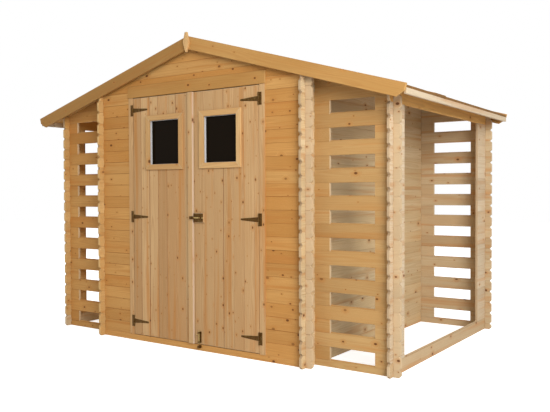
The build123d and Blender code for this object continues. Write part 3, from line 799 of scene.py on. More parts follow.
def front_wall():
    """Sill, strips beside the doorway and gable, as one run of courses."""
    end = SIDE_X + END_REACH
    crossings = (-SIDE_X, SIDE_X)
    pieces = {name: Timber(name + "_boards", seed) for seed, name in enumerate(
        ("front_sill", "front_wall_left", "front_wall_right", "front_gable"), 11)}
    low, high = course_x(0)
    x_board(pieces["front_sill"], nicked_outline(-end, end, low, high, crossings, low=False), FRONT_Y)
    for level in range(1, DOORWAY_COURSES):
        low, high = course_x(level)
        strip = nicked_outline(BOARD_END, end, low, high, crossings, nick_left=False)
        x_board(pieces["front_wall_right"], strip, FRONT_Y)
        x_board(pieces["front_wall_left"], mirrored(strip, -1), FRONT_Y)
    gable = pieces["front_gable"]
    low, high = course_x(DOORWAY_COURSES)
    leg = nicked_outline(BOARD_END, end, low, high, crossings, nick_left=False)
    right_half = np.concatenate([[(BOARD_END, DOORWAY_TOP), (BOARD_END, low)], leg[leg[:, 0] > BOARD_END]])
    x_board(gable, np.concatenate([right_half, mirrored(right_half, -1)]), FRONT_Y)
    for _, low, high in courses_under(roof_under(0) - NICK, DOORWAY_COURSES + 1):
        outline = nicked_outline(-end, end, low, high, crossings, low < y_wall_top(SIDE_X), high=False)
        x_board(gable, under_roof(outline), FRONT_Y)
    for name, timber in pieces.items():
        timber.finish(["wall_pine"], "shed", "wall_timber", [name])


def back_wall():
    """Back wall: every second board ends inside the side walls, the others at the stores' slots."""
    timber = Timber("back_wall_boards", 21)
    for level, low, high in courses_under(roof_under(0) - NICK):
        end = SLOT_START if level % 2 and low < TOP_RAIL_Z else STORE_INNER
        notched = low < y_wall_top(SIDE_X)
        outline = nicked_outline(-end, end, low, high, (-SIDE_X, SIDE_X), notched and level > 0, notched,
                                 False, False)
        x_board(timber, under_roof(outline), BACK_Y)
    timber.finish(["inner_lit_pine"], "shed", "wall_timber", ["back_wall"])


def side_walls():
    """Left and right side walls of the shed, crossed by the front, store and back walls."""
    top = y_wall_top(SIDE_X)
    levels = int(top / COURSE) + 1
    crossings = (FRONT_Y, STORE_Y, BACK_Y)
    for side, hand in SIDES:
        timber = Timber(f"{hand}_side_wall_boards", 31 + side)
        for level in range(levels):
            low = level * COURSE
            high = min(low + COURSE, top)
            nicked = low <= DOORWAY_TOP - COURSE / 4
            y0 = FRONT_Y - END_REACH if nicked else barge_high.y
            y1 = BACK_Y + END_REACH if nicked else -barge_high.y
            notch_top = level < levels - 1
            outline = nicked_outline(y0, y1, low, high, crossings, True, notch_top, nicked, nicked)
            y_board(timber, outline, side * SIDE_X)
        # Right wall: pale as painted light and warm as painted shade; left wall: deeper as painted shade
        timber.finish(["bay_lit_shaded_pine" if side > 0 else "left_shaded_pine"], "shed", "wall_timber", [f"{hand}_side_wall"])


# Log stores

def store_board_spans(level, is_back):
    """Runs along X of one course of a store wall: short boards leave a slot between them."""
    outer = OUTER_X + END_REACH
    if level % 2 == 0 or course_x(level)[0] > TOP_RAIL_Z:
        return [(STORE_INNER, outer)]
    return [(SLOT_END, outer)] if is_back else [(STORE_INNER, SLOT_START), (SLOT_END, outer)]


def tongue(timber, start, end, foot, axes, wall, side, grain):
    """Tongue on top of a board, bared from start to end, in the middle of a wall."""
    sizes = bpy.context.scene.shed_sizes
    half = sizes.tongue_thick / 2
    outline = box_outline(start, end, foot - sizes.arris, foot + sizes.tongue_height)
    timber.add(mirrored(outline, side), axes, wall - half, wall + half, grain)


def store_wall(hand, side, y_wall, is_back):
    """Slatted wall of a store, its tongues and the corner boards that cross it."""
    name = f"{hand}_store_" + ("back" if is_back else "front")
    timber = Timber(name + "_boards", 50 + 4 * side + is_back)
    top = y_wall_top(SIDE_X)
    for level, low, high in courses_under(roof_under(STORE_INNER)):
        for x0, x1 in store_board_spans(level, is_back):
            outline = under_roof(nicked_outline(x0, x1, low, high, (SIDE_X, OUTER_X), level > 0 and low < top,
                                                high < top, False, x1 > SLOT_END))
            if len(outline) > 2:
                x_board(timber, mirrored(outline, side), y_wall)
    for level in range(1, TOP_RAIL_COURSES + 1, 2):
        tongue(timber, SLOT_START, SLOT_END, course_x(level)[0], FACING_FRONT, -y_wall, side, GRAIN_X)
    y0, y1 = (STUB_BACK, BACK_Y + END_REACH) if is_back else (STORE_Y - END_REACH, STUB_FRONT)
    for level in range(1, TOP_RAIL_COURSES):
        low = level * COURSE
        stub = nicked_outline(y0, y1, low, low + COURSE, (y_wall,), True, True, not is_back, is_back)
        y_board(timber, stub, side * OUTER_X, finish=1)
    # On the left the front takes the more saturated wall pine and the stubs the deeper left pine, as painted
    # shade; on the right the stubs are pale as painted light
    front_finish = "store_pine" if side > 0 else "wall_pine"
    stub_finish = "side_lit_pine" if side > 0 else "left_shaded_pine"
    timber.finish(["inner_lit_pine" if is_back else front_finish, stub_finish], "shed", "wall_timber", [name])


def log_stores():
    """Slatted front and back walls of both stores with their corner boards and rails."""
    y0 = STORE_Y - END_REACH
    crossings = (STORE_Y, BACK_Y)
    for side, hand in SIDES:
        x_wall = side * OUTER_X
        store_wall(hand, side, STORE_Y, False)
        store_wall(hand, side, BACK_Y, True)
        rail = Timber(f"{hand}_bottom_rail_board", 61 + side)
        y_board(rail, nicked_outline(y0, BACK_Y + END_REACH, 0, COURSE, crossings), x_wall)
        tongue(rail, STUB_FRONT, STUB_BACK, COURSE, FACING_SIDE, x_wall, 1, GRAIN_Y)
        rail.finish(["inner_lit_pine"], "shed", "wall_timber", [f"{hand}_bottom_rail"])
        rail = Timber(f"{hand}_top_rail_board", 65 + side)
        outline = nicked_outline(y0, -barge_high.y, TOP_RAIL_Z, y_wall_top(OUTER_X), crossings, True, False,
                                 True, False)
        y_board(rail, outline, x_wall)
        rail.finish(["rail_lit_pine"], "shed", "wall_timber", [f"{hand}_top_rail"])


# Roof

def slope_axes(side):
    """Directions down the slope, across it level, and out of it."""
    down = np.array([side * math.cos(ROOF_PITCH), 0.0, -math.sin(ROOF_PITCH)])
    out = np.array([side * math.sin(ROOF_PITCH), 0.0, math.cos(ROOF_PITCH)])
    return down, Y_AXIS, out


def roof_deck():
    """Roof boards that run down each slope, plumb cut at the ridge and eaves.

    A few boards of the right slope have sprung up a little at the eaves.
    """
    sizes = bpy.context.scene.shed_sizes
    count = round((deck_high.y - deck_low.y) / sizes.roof_board)
    stations = np.linspace(deck_low.y, deck_high.y, count + 1)
    for side, hand in SIDES:
        timber = Timber(f"{hand}_roof_boards", 71 + side)
        for y0, y1 in zip(stations[:-1], stations[1:]):
            reach = ROOF_REACH - timber.random.uniform(0, sizes.eaves_waver)
            sprung = side > 0 and SPRUNG_BOARDS[0] < (y0 + y1) / 2 < SPRUNG_BOARDS[1]
            lift = sizes.sprung_lift if sprung else 0.0
            section = np.array([(0, roof_under(0)), (reach, roof_under(reach) + lift),
                                (reach, RIDGE_Z - SLOPE * reach + lift), (0, RIDGE_Z)])
            timber.add(mirrored(section, side), FACING_FRONT, -y1, -y0, slope_axes(side))
        timber.finish(["deck_pine"], "shed", "roof_timber", [f"{hand}_roof_deck"])


def barge_outline():
    """Right barge board: mitred at the ridge, square at the eaves with its lower corner cut off."""
    sizes = bpy.context.scene.shed_sizes
    down, _, out = slope_axes(1)
    along = down[[0, 2]]
    inwards = -out[[0, 2]]
    end = np.array([barge_high.x, BARGE_RIDGE_Z - SLOPE * barge_high.x])
    corner = end + inwards * (sizes.barge_width - sizes.barge_cut)
    low = end + inwards * sizes.barge_width - along * sizes.barge_cut
    plumb = sizes.barge_width / math.cos(ROOF_PITCH)
    return np.array([(0, BARGE_RIDGE_Z - plumb), low, corner, end, (0, BARGE_RIDGE_Z)])


def barge_boards():
    """Four barge boards, two on each gable."""
    arris = bpy.context.scene.shed_sizes.trim_arris
    for gable in ("front", "back"):
        for side, hand in SIDES:
            node = f"{gable}_{hand}_barge"
            low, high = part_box(node)
            timber = Timber(node + "_board", 80 + 2 * side + (gable == "back"))
            down, level, out = slope_axes(side)
            # The left barge boards are toned darker as painted shade
            timber.add(mirrored(barge_outline(), side), FACING_FRONT, -high.y, -low.y, (down, out, level),
                       arris, shade=BARGE_PAINTED_SHADES[side])
            timber.finish(["roof_pine"], "shed", "roof_timber", [node])


def eave_fascias():
    """Strips under the deck's edge on both sides, bevelled to the slope."""
    for side, hand in SIDES:
        node = f"{hand}_eave_fascia"
        low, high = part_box(node)
        inner, outer = sorted((abs(low.x), abs(high.x)))
        section = np.array([(inner, low.z), (outer, low.z), (outer, roof_under(outer)),
                            (inner, roof_under(inner))])
        timber = Timber(node + "_strip", 91 + side)
        timber.add(mirrored(section, side), FACING_FRONT, -high.y, -low.y, GRAIN_Y)
        # The fascias take the side pine, pale as painted light
        timber.finish(["side_lit_pine"], "shed", "roof_timber", [node])


def ridge_beam():
    """Beam under the ridge. Its ends are cut back underneath, clear of the barge boards."""
    sizes = bpy.context.scene.shed_sizes
    low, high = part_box("ridge_beam")
    top = roof_under(high.x)
    nose = top - sizes.beam_nose
    outline = np.array([(low.y, top), (low.y, nose), (low.y + sizes.beam_splay, low.z),
                        (high.y - sizes.beam_splay, low.z), (high.y, nose), (high.y, top)])
    timber = Timber("ridge_beam_timber", 95)
    timber.add(outline, FACING_SIDE, -high.x, high.x, GRAIN_Y, sizes.trim_arris)
    timber.finish(["rail_lit_pine"], "shed", "roof_timber", ["ridge_beam"])


def finials():
    """Six-sided boards over the mitres of the barge boards."""
    sizes = bpy.context.scene.shed_sizes
    low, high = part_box("finials")
    half = [(sizes.finial_foot / 2, low.z), (sizes.finial_waist / 2, (low.z + high.z) / 2),
            (sizes.finial_top / 2, high.z)]
    outline = np.array(half + [(-x, z) for x, z in half[::-1]])
    thick = barge_low.y - low.y
    timber = Timber("finial_boards", 97)
    for y0 in (low.y, high.y - thick):
        timber.add(outline, FACING_FRONT, -y0 - thick, -y0, GRAIN_Z, sizes.trim_arris)
    timber.finish(["trim_pine"], "shed", "roof_timber", ["finials"])


# Doorway and door leaves

def door_frame():
    """Grooved jambs that clasp the board ends, and the head board over the doorway."""
    low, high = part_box("door_jambs")
    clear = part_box("right_door_boards")[1].x + LEAF_GAP
    face = FRONT_Y - HALF_WALL
    back = FRONT_Y + HALF_WALL
    section = np.array([(clear, low.y), (high.x, low.y), (high.x, face), (BOARD_END, face),
                        (BOARD_END, back), (high.x, back), (high.x, high.y), (clear, high.y)])
    timber = Timber("door_jamb_posts", 101)
    for side in (-1, 1):
        timber.add(mirrored(section, side), FACING_UP, low.z, high.z, GRAIN_Z)
    timber.finish(["door_pine"], "shed", "door_timber", ["door_jambs"])
    low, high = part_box("door_head")
    timber = Timber("door_head_board", 103)
    timber.add(box_outline(low.x, high.x, low.z, high.z), FACING_FRONT, -high.y, -low.y, GRAIN_X)
    timber.finish(["roof_pine"], "shed", "door_timber", ["door_head"])


def hinge_heights():
    """Heights of the three hinges from the ends of the leaf."""
    low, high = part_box("right_door_boards")
    return low.z + LOWER_HINGE_RISE, (low.z + high.z) / 2, high.z - UPPER_HINGE_DROP


def window_opening(hand):
    """Left, right, foot and top of a leaf's window opening."""
    low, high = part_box(f"{hand}_door_window_trim")
    return low.x + TRIM_WIDTH, high.x - TRIM_WIDTH, low.z + TRIM_WIDTH, high.z - TRIM_WIDTH


def door_boards(hand, side):
    """Upright boards of a leaf, cut round the window opening."""
    sizes = bpy.context.scene.shed_sizes
    low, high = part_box(f"{hand}_door_boards")
    left, right, foot, top = window_opening(hand)
    meeting, hanging = (high.x, low.x) if side < 0 else (low.x, high.x)
    count = math.ceil(abs(hanging - meeting) / sizes.door_board)
    stations = sorted([meeting + side * sizes.door_board * step for step in range(count)] + [hanging])
    timber = Timber(f"{hand}_door_planks", 110 + side)
    for x0, x1 in zip(stations[:-1], stations[1:]):
        if x1 <= left or x0 >= right:
            outlines = [box_outline(x0, x1, low.z, high.z)]
        elif left <= x0 and x1 <= right:
            outlines = [box_outline(x0, x1, low.z, foot), box_outline(x0, x1, top, high.z)]
        elif x0 < left:
            outlines = [np.array([(x0, low.z), (x1, low.z), (x1, foot), (left, foot), (left, top),
                                  (x1, top), (x1, high.z), (x0, high.z)])]
        else:
            outlines = [np.array([(x0, low.z), (x1, low.z), (x1, high.z), (x0, high.z), (x0, top),
                                  (right, top), (right, foot), (x0, foot)])]
        joints = MEETING_JOINT if meeting in (x0, x1) else None
        for outline in outlines:
            timber.add(outline, FACING_FRONT, -high.y, -low.y, GRAIN_Z, sizes.door_arris, joints=joints)
    timber.finish(["door_pine"], f"{hand}_door", "door_timber", [f"{hand}_door_boards"])


def mitred_frame(timber, opening, width, low, high, bevel):
    """Four strips round an opening, their corners cut at 45 degrees."""
    left, right, foot, top = opening
    inner = box_outline(left, right, foot, top)
    outer = box_outline(left - width, right + width, foot - width, top + width)
    for here, grain in enumerate((GRAIN_X, GRAIN_Z, GRAIN_X, GRAIN_Z)):
        ahead = (here + 1) % 4
        strip = np.array([outer[here], outer[ahead], inner[ahead], inner[here]])
        timber.add(strip, FACING_FRONT, low, high, grain, bevel)


def door_trims(hand, side):
    """Mitred trim in front of the window, and ledges and glazing beads behind the boards."""
    sizes = bpy.context.scene.shed_sizes
    arris = sizes.trim_arris
    sheet = sizes.liner_sheet
    body = f"{hand}_door"
    opening = window_opening(hand)
    pane_low, pane_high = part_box(body + "_pane")
    low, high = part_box(body + "_window_trim")
    timber = Timber(f"{hand}_window_trim_strips", 120 + side)
    mitred_frame(timber, opening, TRIM_WIDTH, -high.y, -low.y, arris)
    timber.finish(["trim_pine"], body, "door_timber", [body + "_window_trim"])
    # A thin lining in each opening, pale grey as a painted highlight of the sheen on the reveals
    liner = Timber(f"{hand}_window_liner", 125 + side)
    left, right, foot, top = opening
    lined = (left + sheet, right - sheet, foot + sheet, top - sheet)
    mitred_frame(liner, lined, sheet, -pane_low.y, -high.y, LINER_ARRIS)
    liner.finish(["liner_highlight"], body, "door_timber")
    low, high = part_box(body + "_battens")
    boards_low, boards_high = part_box(body + "_boards")
    timber = Timber(f"{hand}_door_ledges", 130 + side)
    for height in hinge_heights():
        ledge = box_outline(boards_low.x + LEDGE_END_GAP, boards_high.x - LEDGE_END_GAP,
                            height - LEDGE_HEIGHT / 2, height + LEDGE_HEIGHT / 2)
        timber.add(ledge, FACING_FRONT, -high.y, -low.y, GRAIN_X, arris)
    mitred_frame(timber, opening, TRIM_WIDTH, -high.y, -pane_high.y, arris)
    timber.finish(["door_pine"], body, "door_timber", [body + "_battens"])
    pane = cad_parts[body + "_pane"].data
    pane.materials.clear()
    pane.materials.append(bpy.data.materials["dark_glass"])


def door_leaves():
    """Boards, trims and ledges of both leaves."""
    for side, hand in SIDES:
        door_boards(hand, side)
        door_trims(hand, side)


def meeting_batten():
    """Batten on the left leaf along the gap, and the packer under the bolt on the right leaf."""
    arris = bpy.context.scene.shed_sizes.batten_arris
    # The batten's edges take the pale batten pine as painted light
    for node, name, body, seed, rim in (("meeting_batten", "meeting_batten_strip", "left_door", 141, 1),
                                        ("bolt_packer", "bolt_packer_block", "right_door", 143, 0)):
        low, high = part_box(node)
        timber = Timber(name, seed)
        timber.add(box_outline(low.x, high.x, low.z, high.z), FACING_FRONT, -high.y, -low.y, GRAIN_Z, arris,
                   rim_finish=rim)
        timber.finish(["door_pine", "batten_lit_pine"], body, "door_timber", [node])


# Fittings

class Metal(Solids):
    """Plates and turned bars gathered into one mesh."""

    def plate(self, outline, axes, low, high):
        """Outline carried from low to high along the third axis, with bevelled rims."""
        self.carry(outline, np.array(axes), low, high, SHEET_EDGE)

    def turned(self, profile, start, direction, sides=BAR_SIDES, hollow=False):
        """Profile of radius and height turned round an axis: radius times cosine and sine.

        A solid's first and last points lie on the axis. A hollow one's profile is a closed loop,
        up the outside and down the inside.
        """
        first = np.cross(direction, Y_AXIS if direction[0] else X_AXIS)
        second = np.cross(direction, first)
        profile = np.array(profile)
        body = profile if hollow else profile[1:-1]
        turn = np.linspace(0, 2 * math.pi, sides, endpoint=False)
        spokes = np.cos(turn)[:, None] * first + np.sin(turn)[:, None] * second
        points = (body[:, 0, None, None] * spokes + body[:, 1, None, None] * direction).reshape(-1, 3)
        here = np.arange(sides)
        ahead = np.roll(here, -1)
        below = np.arange(len(body) if hollow else len(body) - 1)[:, None] * sides
        above = (below + sides) % len(points)
        quads = np.stack([below + here, below + ahead, above + ahead, above + here], axis=2).reshape(-1, 4)
        if hollow:
            self.gather(points + start, quads)
            return
        foot = np.full(sides, len(points))
        last = len(points) - sides
        fans = np.concatenate([np.stack([ahead, here, foot], axis=1),
                               np.stack([here + last, ahead + last, foot + 1], axis=1)])
        ends = np.outer(profile[[0, -1], 1], direction)
        self.gather(np.concatenate([points, ends]) + start, quads, fans)

    def finish(self, material, body, slot, nodes):
        """Mesh object, smooth except at its edges."""
        mesh = self.mesh()
        mesh.polygons.foreach_set("use_smooth", np.ones(len(mesh.polygons), bool))
        mesh.set_sharp_from_angle(angle=SMOOTH_ANGLE)
        mesh.update()
        placed(mesh, [material], body, nodes)


def bar_profile(radius, length, edge, bore=0):
    """Radius and height of a bar or tube with rounded edges, from end to end of its outside."""
    return [(bore, 0), (radius - edge, 0), (radius, edge), (radius, length - edge),
            (radius - edge, length), (bore, length)]


def screw_head(metal, centre, radius):
    """Low domed head with a drive recess, standing on the front of a sheet."""
    profile = np.array(SCREW_PROFILE) * (radius, radius * SCREW_RISE)
    metal.turned(profile, np.array(centre), -Y_AXIS, SCREW_SIDES)


def arch_outline(inner, outer, drop):
    """Half ring with straight feet: an outer arc, then the inner arc back."""
    turn = np.linspace(0, math.pi, ARCH_STEPS)
    ring = np.stack([np.cos(turn), np.sin(turn)], axis=1)
    feet = [(-outer, -drop), (-inner, -drop)]
    return np.concatenate([[(outer, -drop)], ring * outer, feet, ring[::-1] * inner, [(inner, -drop)]])


def hinges():
    """Tee hinges: plates on the jambs, tapered straps on the leaves, knuckles and pins."""
    boards_low, boards_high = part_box("right_door_boards")
    face = boards_low.y
    leaf_edge = boards_high.x
    clear = leaf_edge + LEAF_GAP
    axis_x = leaf_edge + LEAF_GAP / 2
    axis_y = face - KNUCKLE_RADIUS - KNUCKLE_STAND_OFF
    eye = STRAP_ROOT / 2 + KNUCKLE_GAP
    root = STRAP_ROOT / 2
    tip = STRAP_TIP / 2
    tip_x = leaf_edge - STRAP_LENGTH
    nose_x = tip_x + tip * STRAP_NOSE[0]
    nose = tip * STRAP_NOSE[1]
    plates = Metal("hinge_jamb_plates")
    for side, hand in SIDES:
        straps = Metal(f"{hand}_hinge_straps")
        for height in hinge_heights():
            low, high = height - PLATE_HEIGHT / 2, height + PLATE_HEIGHT / 2
            plate = np.array([(axis_x, low), (clear + PLATE_WIDTH, low), (clear + PLATE_WIDTH, high),
                              (axis_x, high), (axis_x, height + eye), (clear, height + eye),
                              (clear, height - eye), (axis_x, height - eye)])
            strap = np.array([(tip_x, height - nose), (nose_x, height - tip), (leaf_edge, height - root),
                              (axis_x, height - root), (axis_x, height + root), (leaf_edge, height + root),
                              (nose_x, height + tip), (tip_x, height + nose)])
            plates.plate(mirrored(plate, side), FACING_FRONT, -face, -face + HINGE_SHEET)
            straps.plate(mirrored(strap, side), FACING_FRONT, -face, -face + HINGE_SHEET)
            for metal, radius, foot, top, bore in (
                    (plates, KNUCKLE_RADIUS, low, height - eye, 0),
                    (plates, KNUCKLE_RADIUS, height + eye, high, 0),
                    (plates, PIN_RADIUS, height - eye, height + eye, 0),
                    (straps, KNUCKLE_RADIUS, height - root, height + root, PIN_BORE)):
                metal.turned(bar_profile(radius, top - foot, SHEET_EDGE, bore),
                             np.array([side * axis_x, axis_y, foot]), Z_AXIS, hollow=bore > 0)
            for rise in (-PLATE_SCREW_SPACING, 0.0, PLATE_SCREW_SPACING):
                x = side * (clear + PLATE_WIDTH * PLATE_SCREW_SHARE)
                screw_head(plates, (x, face - HINGE_SHEET, height + rise), PLATE_SCREW)
            for share, rise in STRAP_SCREWS:
                x = side * (leaf_edge - share * STRAP_LENGTH)
                screw_head(straps, (x, face - HINGE_SHEET, height + rise), STRAP_SCREW)
        straps.finish("aged_bronze", f"{hand}_door", "bronzed_steel", [f"{hand}_door_straps"])
    plates.finish("aged_bronze", "shed", "bronzed_steel", ["hinge_plates"])


def spans(node, axes):
    """Low and high reach of a node's box along each axis."""
    return [np.sort(np.array(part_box(node)) @ axis) for axis in axes]


def bolt_plate(name, node, radius, axes):
    """Sheet with two strap guides over a round bolt.

    axes are the directions across the bolt, along it, and out of the leaf.
    """
    across, along, out = axes
    cross, run, level = spans(node, axes)
    face = level[0] + HINGE_SHEET
    outer = radius + GUIDE_WALL
    metal = Metal(name)
    metal.plate(box_outline(*cross, *run), axes, level[0], face)
    arch = arch_outline(radius + BOLT_PLAY, outer, outer) + [cross.mean(), face + outer]
    for start in (run[0] + GUIDE_INSET, run[1] - GUIDE_INSET - GUIDE_LENGTH):
        metal.plate(arch, (across, out, -along), -start - GUIDE_LENGTH, -start)
    for x in cross + [BOLT_SCREW_INSET, -BOLT_SCREW_INSET]:
        for y in run + [BOLT_SCREW_INSET, -BOLT_SCREW_INSET]:
            screw_head(metal, x * across + y * along + face * out, BOLT_SCREW)
    metal.finish("aged_bronze", "right_door", "bronzed_steel", [node])


def keeper(name, node, radius, axes, body, slot):
    """Strap keeper that takes the bolt's tip: a square arch over a square way."""
    across, along, out = axes
    cross, run, level = spans(node, axes)
    way = radius + KEEPER_PLAY
    inner = cross.mean() + [-way, way]
    top = level[1] - GUIDE_WALL
    ring = np.array([(cross[1], level[0]), (cross[1], level[1]), (cross[0], level[1]), (cross[0], level[0]),
                     (inner[0], level[0]), (inner[0], top), (inner[1], top), (inner[1], level[0])])
    metal = Metal(name)
    metal.plate(ring, (across, out, -along), -run[1], -run[0])
    metal.plate(box_outline(*inner, *run), axes, level[0], top - 2 * way)
    metal.finish("aged_bronze", body, slot, [node])


def bolt_bar(name, bolt, radius, along, body):
    """Round bar with a turned knob that stands out between the guides."""
    low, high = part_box(bolt + "_rod")
    start, end = spans(bolt + "_rod", [along])[0]
    plate_end = spans(bolt + "_plate", [along])[0][1]
    middle = (low + high) / 2
    axis_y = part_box(bolt + "_plate")[0].y + radius + GUIDE_WALL
    foot = np.where(along > 0, start, [middle.x, axis_y, middle.z])
    metal = Metal(name)
    metal.turned(bar_profile(radius, end - start, radius * BOLT_CHAMFER), foot, along)
    reach = plate_end - 2 * GUIDE_INSET - GUIDE_LENGTH - KNOB_RADIUS - start
    profile = np.array(KNOB_PROFILE) * (KNOB_RADIUS, axis_y - low.y)
    metal.turned(profile, foot + reach * along, -Y_AXIS, KNOB_SIDES)
    metal.finish("rubbed_brass", body, "bright_bolt", [bolt + "_rod"])


def bolts():
    """Sliding bolt across the meeting of the leaves and drop bolt at the foot of the right leaf."""
    level = (-Z_AXIS, X_AXIS, -Y_AXIS)
    upright = FACING_FRONT
    bolt_plate("centre_bolt_plate", "bolt_plate", BOLT_RADIUS, level)
    bolt_plate("drop_bolt_plate", "foot_bolt_plate", FOOT_BOLT_RADIUS, upright)
    keeper("centre_bolt_keeper", "bolt_keeper", BOLT_RADIUS, level, "left_door", "bright_bolt")
    keeper("drop_bolt_keeper", "foot_bolt_keeper", FOOT_BOLT_RADIUS, upright, "shed", "bronzed_steel")
    bolt_bar("centre_bolt_bar", "bolt", BOLT_RADIUS, X_AXIS, "centre_bolt")
    bolt_bar("drop_bolt_bar", "foot_bolt", FOOT_BOLT_RADIUS, Z_AXIS, "foot_bolt")


# Stage

def stage_floor():
    """White floor that glows a little for the camera, as the photo's ground is blank."""
    looks = bpy.context.scene.shed_looks
    half = looks.floor_size / 2
    mesh = bpy.data.meshes.new("floor")
    corners = [(x, y, 0) for x, y in box_outline(-half, half, -half, half)]
    mesh.from_pydata(corners, [], [(0, 1, 2, 3)])
    floor = new_object("floor", mesh)
    nodes, shader = new_material("floor_white")
    shader.inputs["Base Color"].default_value = FLOOR_COLOUR
    shader.inputs["Roughness"].default_value = FLOOR_ROUGHNESS
    shader.inputs["Emission Color"].default_value = WHITE
    nodes.fill(shader.inputs["Emission Strength"], nodes.times(nodes.seen(), looks.floor_glow))
    mesh.materials.append(bpy.data.materials["floor_white"])


def stage_sky():
    """Even light from the sky, brighter at the horizon, and plain white where it is seen."""
    looks = bpy.context.scene.shed_looks
    world = bpy.data.worlds.new("even_sky")
    world.use_nodes = True
    bpy.context.scene.world = world
    world.node_tree.nodes.clear()
    nodes = Nodes(world.node_tree)
    seen = nodes.seen()
    height = nodes.split(nodes.add("ShaderNodeTexCoord").outputs["Generated"])["Z"]
    glow = nodes.ramp(height, 0.0, ZENITH_HEIGHT, looks.horizon_strength, looks.zenith_strength)
    strength = nodes.math("MAXIMUM", seen, nodes.times(glow, nodes.math("SUBTRACT", 1.0, seen)))
    light = nodes.add("ShaderNodeBackground", {"Color": WHITE, "Strength": strength})
    nodes.add("ShaderNodeOutputWorld", {"Surface": light.outputs[0]})


def stage_lights():
    """Soft key light, and a weaker light opposite it."""
    looks = bpy.context.scene.shed_looks
    for name, power, around in (("key_light", looks.key_power, looks.key_turn),
                                ("back_light", looks.back_power, looks.key_turn + math.pi)):
        lamp = bpy.data.lights.new(name, "AREA")
        lamp.energy = power
        lamp.shape = "DISK"
        lamp.size = looks.key_size
        turned = Matrix.Rotation(around, 4, "Z") @ Matrix.Rotation(looks.key_tilt, 4, "X")
        away = Matrix.Translation((0, 0, looks.key_distance))
        new_object(name, lamp).matrix_world = Matrix.Translation(Vector(looks.key_aim)) @ turned @ away


def stage_camera():
    """Camera of the photograph."""
    looks = bpy.context.scene.shed_looks
    camera = bpy.data.cameras.new("photo_camera")
    camera.sensor_width = SENSOR_WIDTH
    camera.lens = looks.focal_pixels / PHOTO_WIDTH * SENSOR_WIDTH
    camera.clip_end = CAMERA_REACH
    view = new_object("photo_camera", camera)
    heading, dip, roll = looks.heading, looks.dip, looks.roll
    level = math.cos(dip)
    forward = Vector((-math.sin(heading) * level, math.cos(heading) * level, -math.sin(dip)))
    right = Vector((math.cos(heading), math.sin(heading), 0.0))
    up = right.cross(forward)
    turned_right = math.cos(roll) * right + math.sin(roll) * up
    turned_up = math.cos(roll) * up - math.sin(roll) * right
    place = Matrix((turned_right, turned_up, -forward)).transposed().to_4x4()
    place.translation = Vector(looks.camera_place)
    view.matrix_world = place
    bpy.context.scene.camera = view
    bpy.context.scene.view_settings.view_transform = "Standard"


def stage():
    """White floor, even light from the sky, two soft lights and the camera of the photograph."""
    stage_floor()
    stage_sky()
    stage_lights()
    stage_camera()


# Settings

def length(name, description, default):
    """Length property in metres."""
    return bpy.props.FloatProperty(name=name, description=description, default=default, min=0,
                                   unit="LENGTH", precision=4)


def number(name, description, default):
    """Property without a unit."""
    return bpy.props.FloatProperty(name=name, description=description, default=default, min=0)


def colour(name, description, default):
    """Colour property."""
    return bpy.props.FloatVectorProperty(name=name, description=description, default=default, min=0,
                                         max=1, subtype="COLOR", size=3)


def position(name, description, default):
    """Property for a place in the shed's frame."""
    return bpy.props.FloatVectorProperty(name=name, description=description, default=default,
                                         subtype="TRANSLATION", size=3)


def angle(name, description, default):
    """Angle property."""
    return bpy.props.FloatProperty(name=name, description=description, default=default,
                                   unit="ROTATION", precision=4)


class ShedSizes(bpy.types.PropertyGroup):
    """Sizes of the boards that the frame leaves open."""
    arris: length("Arris", "Bevel on the edges of wall boards", 0.0018)
    door_arris: length("Door arris", "Bevel on the edges of door boards", 0.003)
    trim_arris: length("Trim arris", "Bevel on the edges of trims, barge boards and beams", 0.002)
    batten_arris: length("Batten arris", "Bevel on the meeting batten", 0.003)
    tongue_thick: length("Tongue thickness", "Tongue on the boards below the slots", 0.006)
    tongue_height: length("Tongue height", "Height of the bared tongues", 0.008)
    roof_board: length("Roof board", "Cover width of a roof board", 0.088)
    eaves_waver: length("Eaves waver", "Most that a roof board may be short at the eaves", 0.003)
    sprung_lift: length("Sprung lift", "How far a few roof boards stand up at the right eaves", 0.005)
    barge_width: length("Barge board width", "Width of the barge boards", 0.090)
    barge_cut: length("Barge board cut", "Corner cut off the foot of the barge boards", 0.045)
    beam_nose: length("Beam nose", "Height of the ridge beam's ends", 0.030)
    beam_splay: length("Beam splay", "Length of the cut under the ridge beam's ends", 0.080)
    liner_sheet: length("Window liner", "Thickness of the window openings' lining", 0.0015)
    finial_waist: length("Finial waist", "Greatest width of the finials", 0.054)
    finial_top: length("Finial top", "Width of the finials at the top", 0.018)
    finial_foot: length("Finial foot", "Width of the finials at the foot", 0.009)
    door_board: length("Door board", "Cover width of a door board", 0.088)


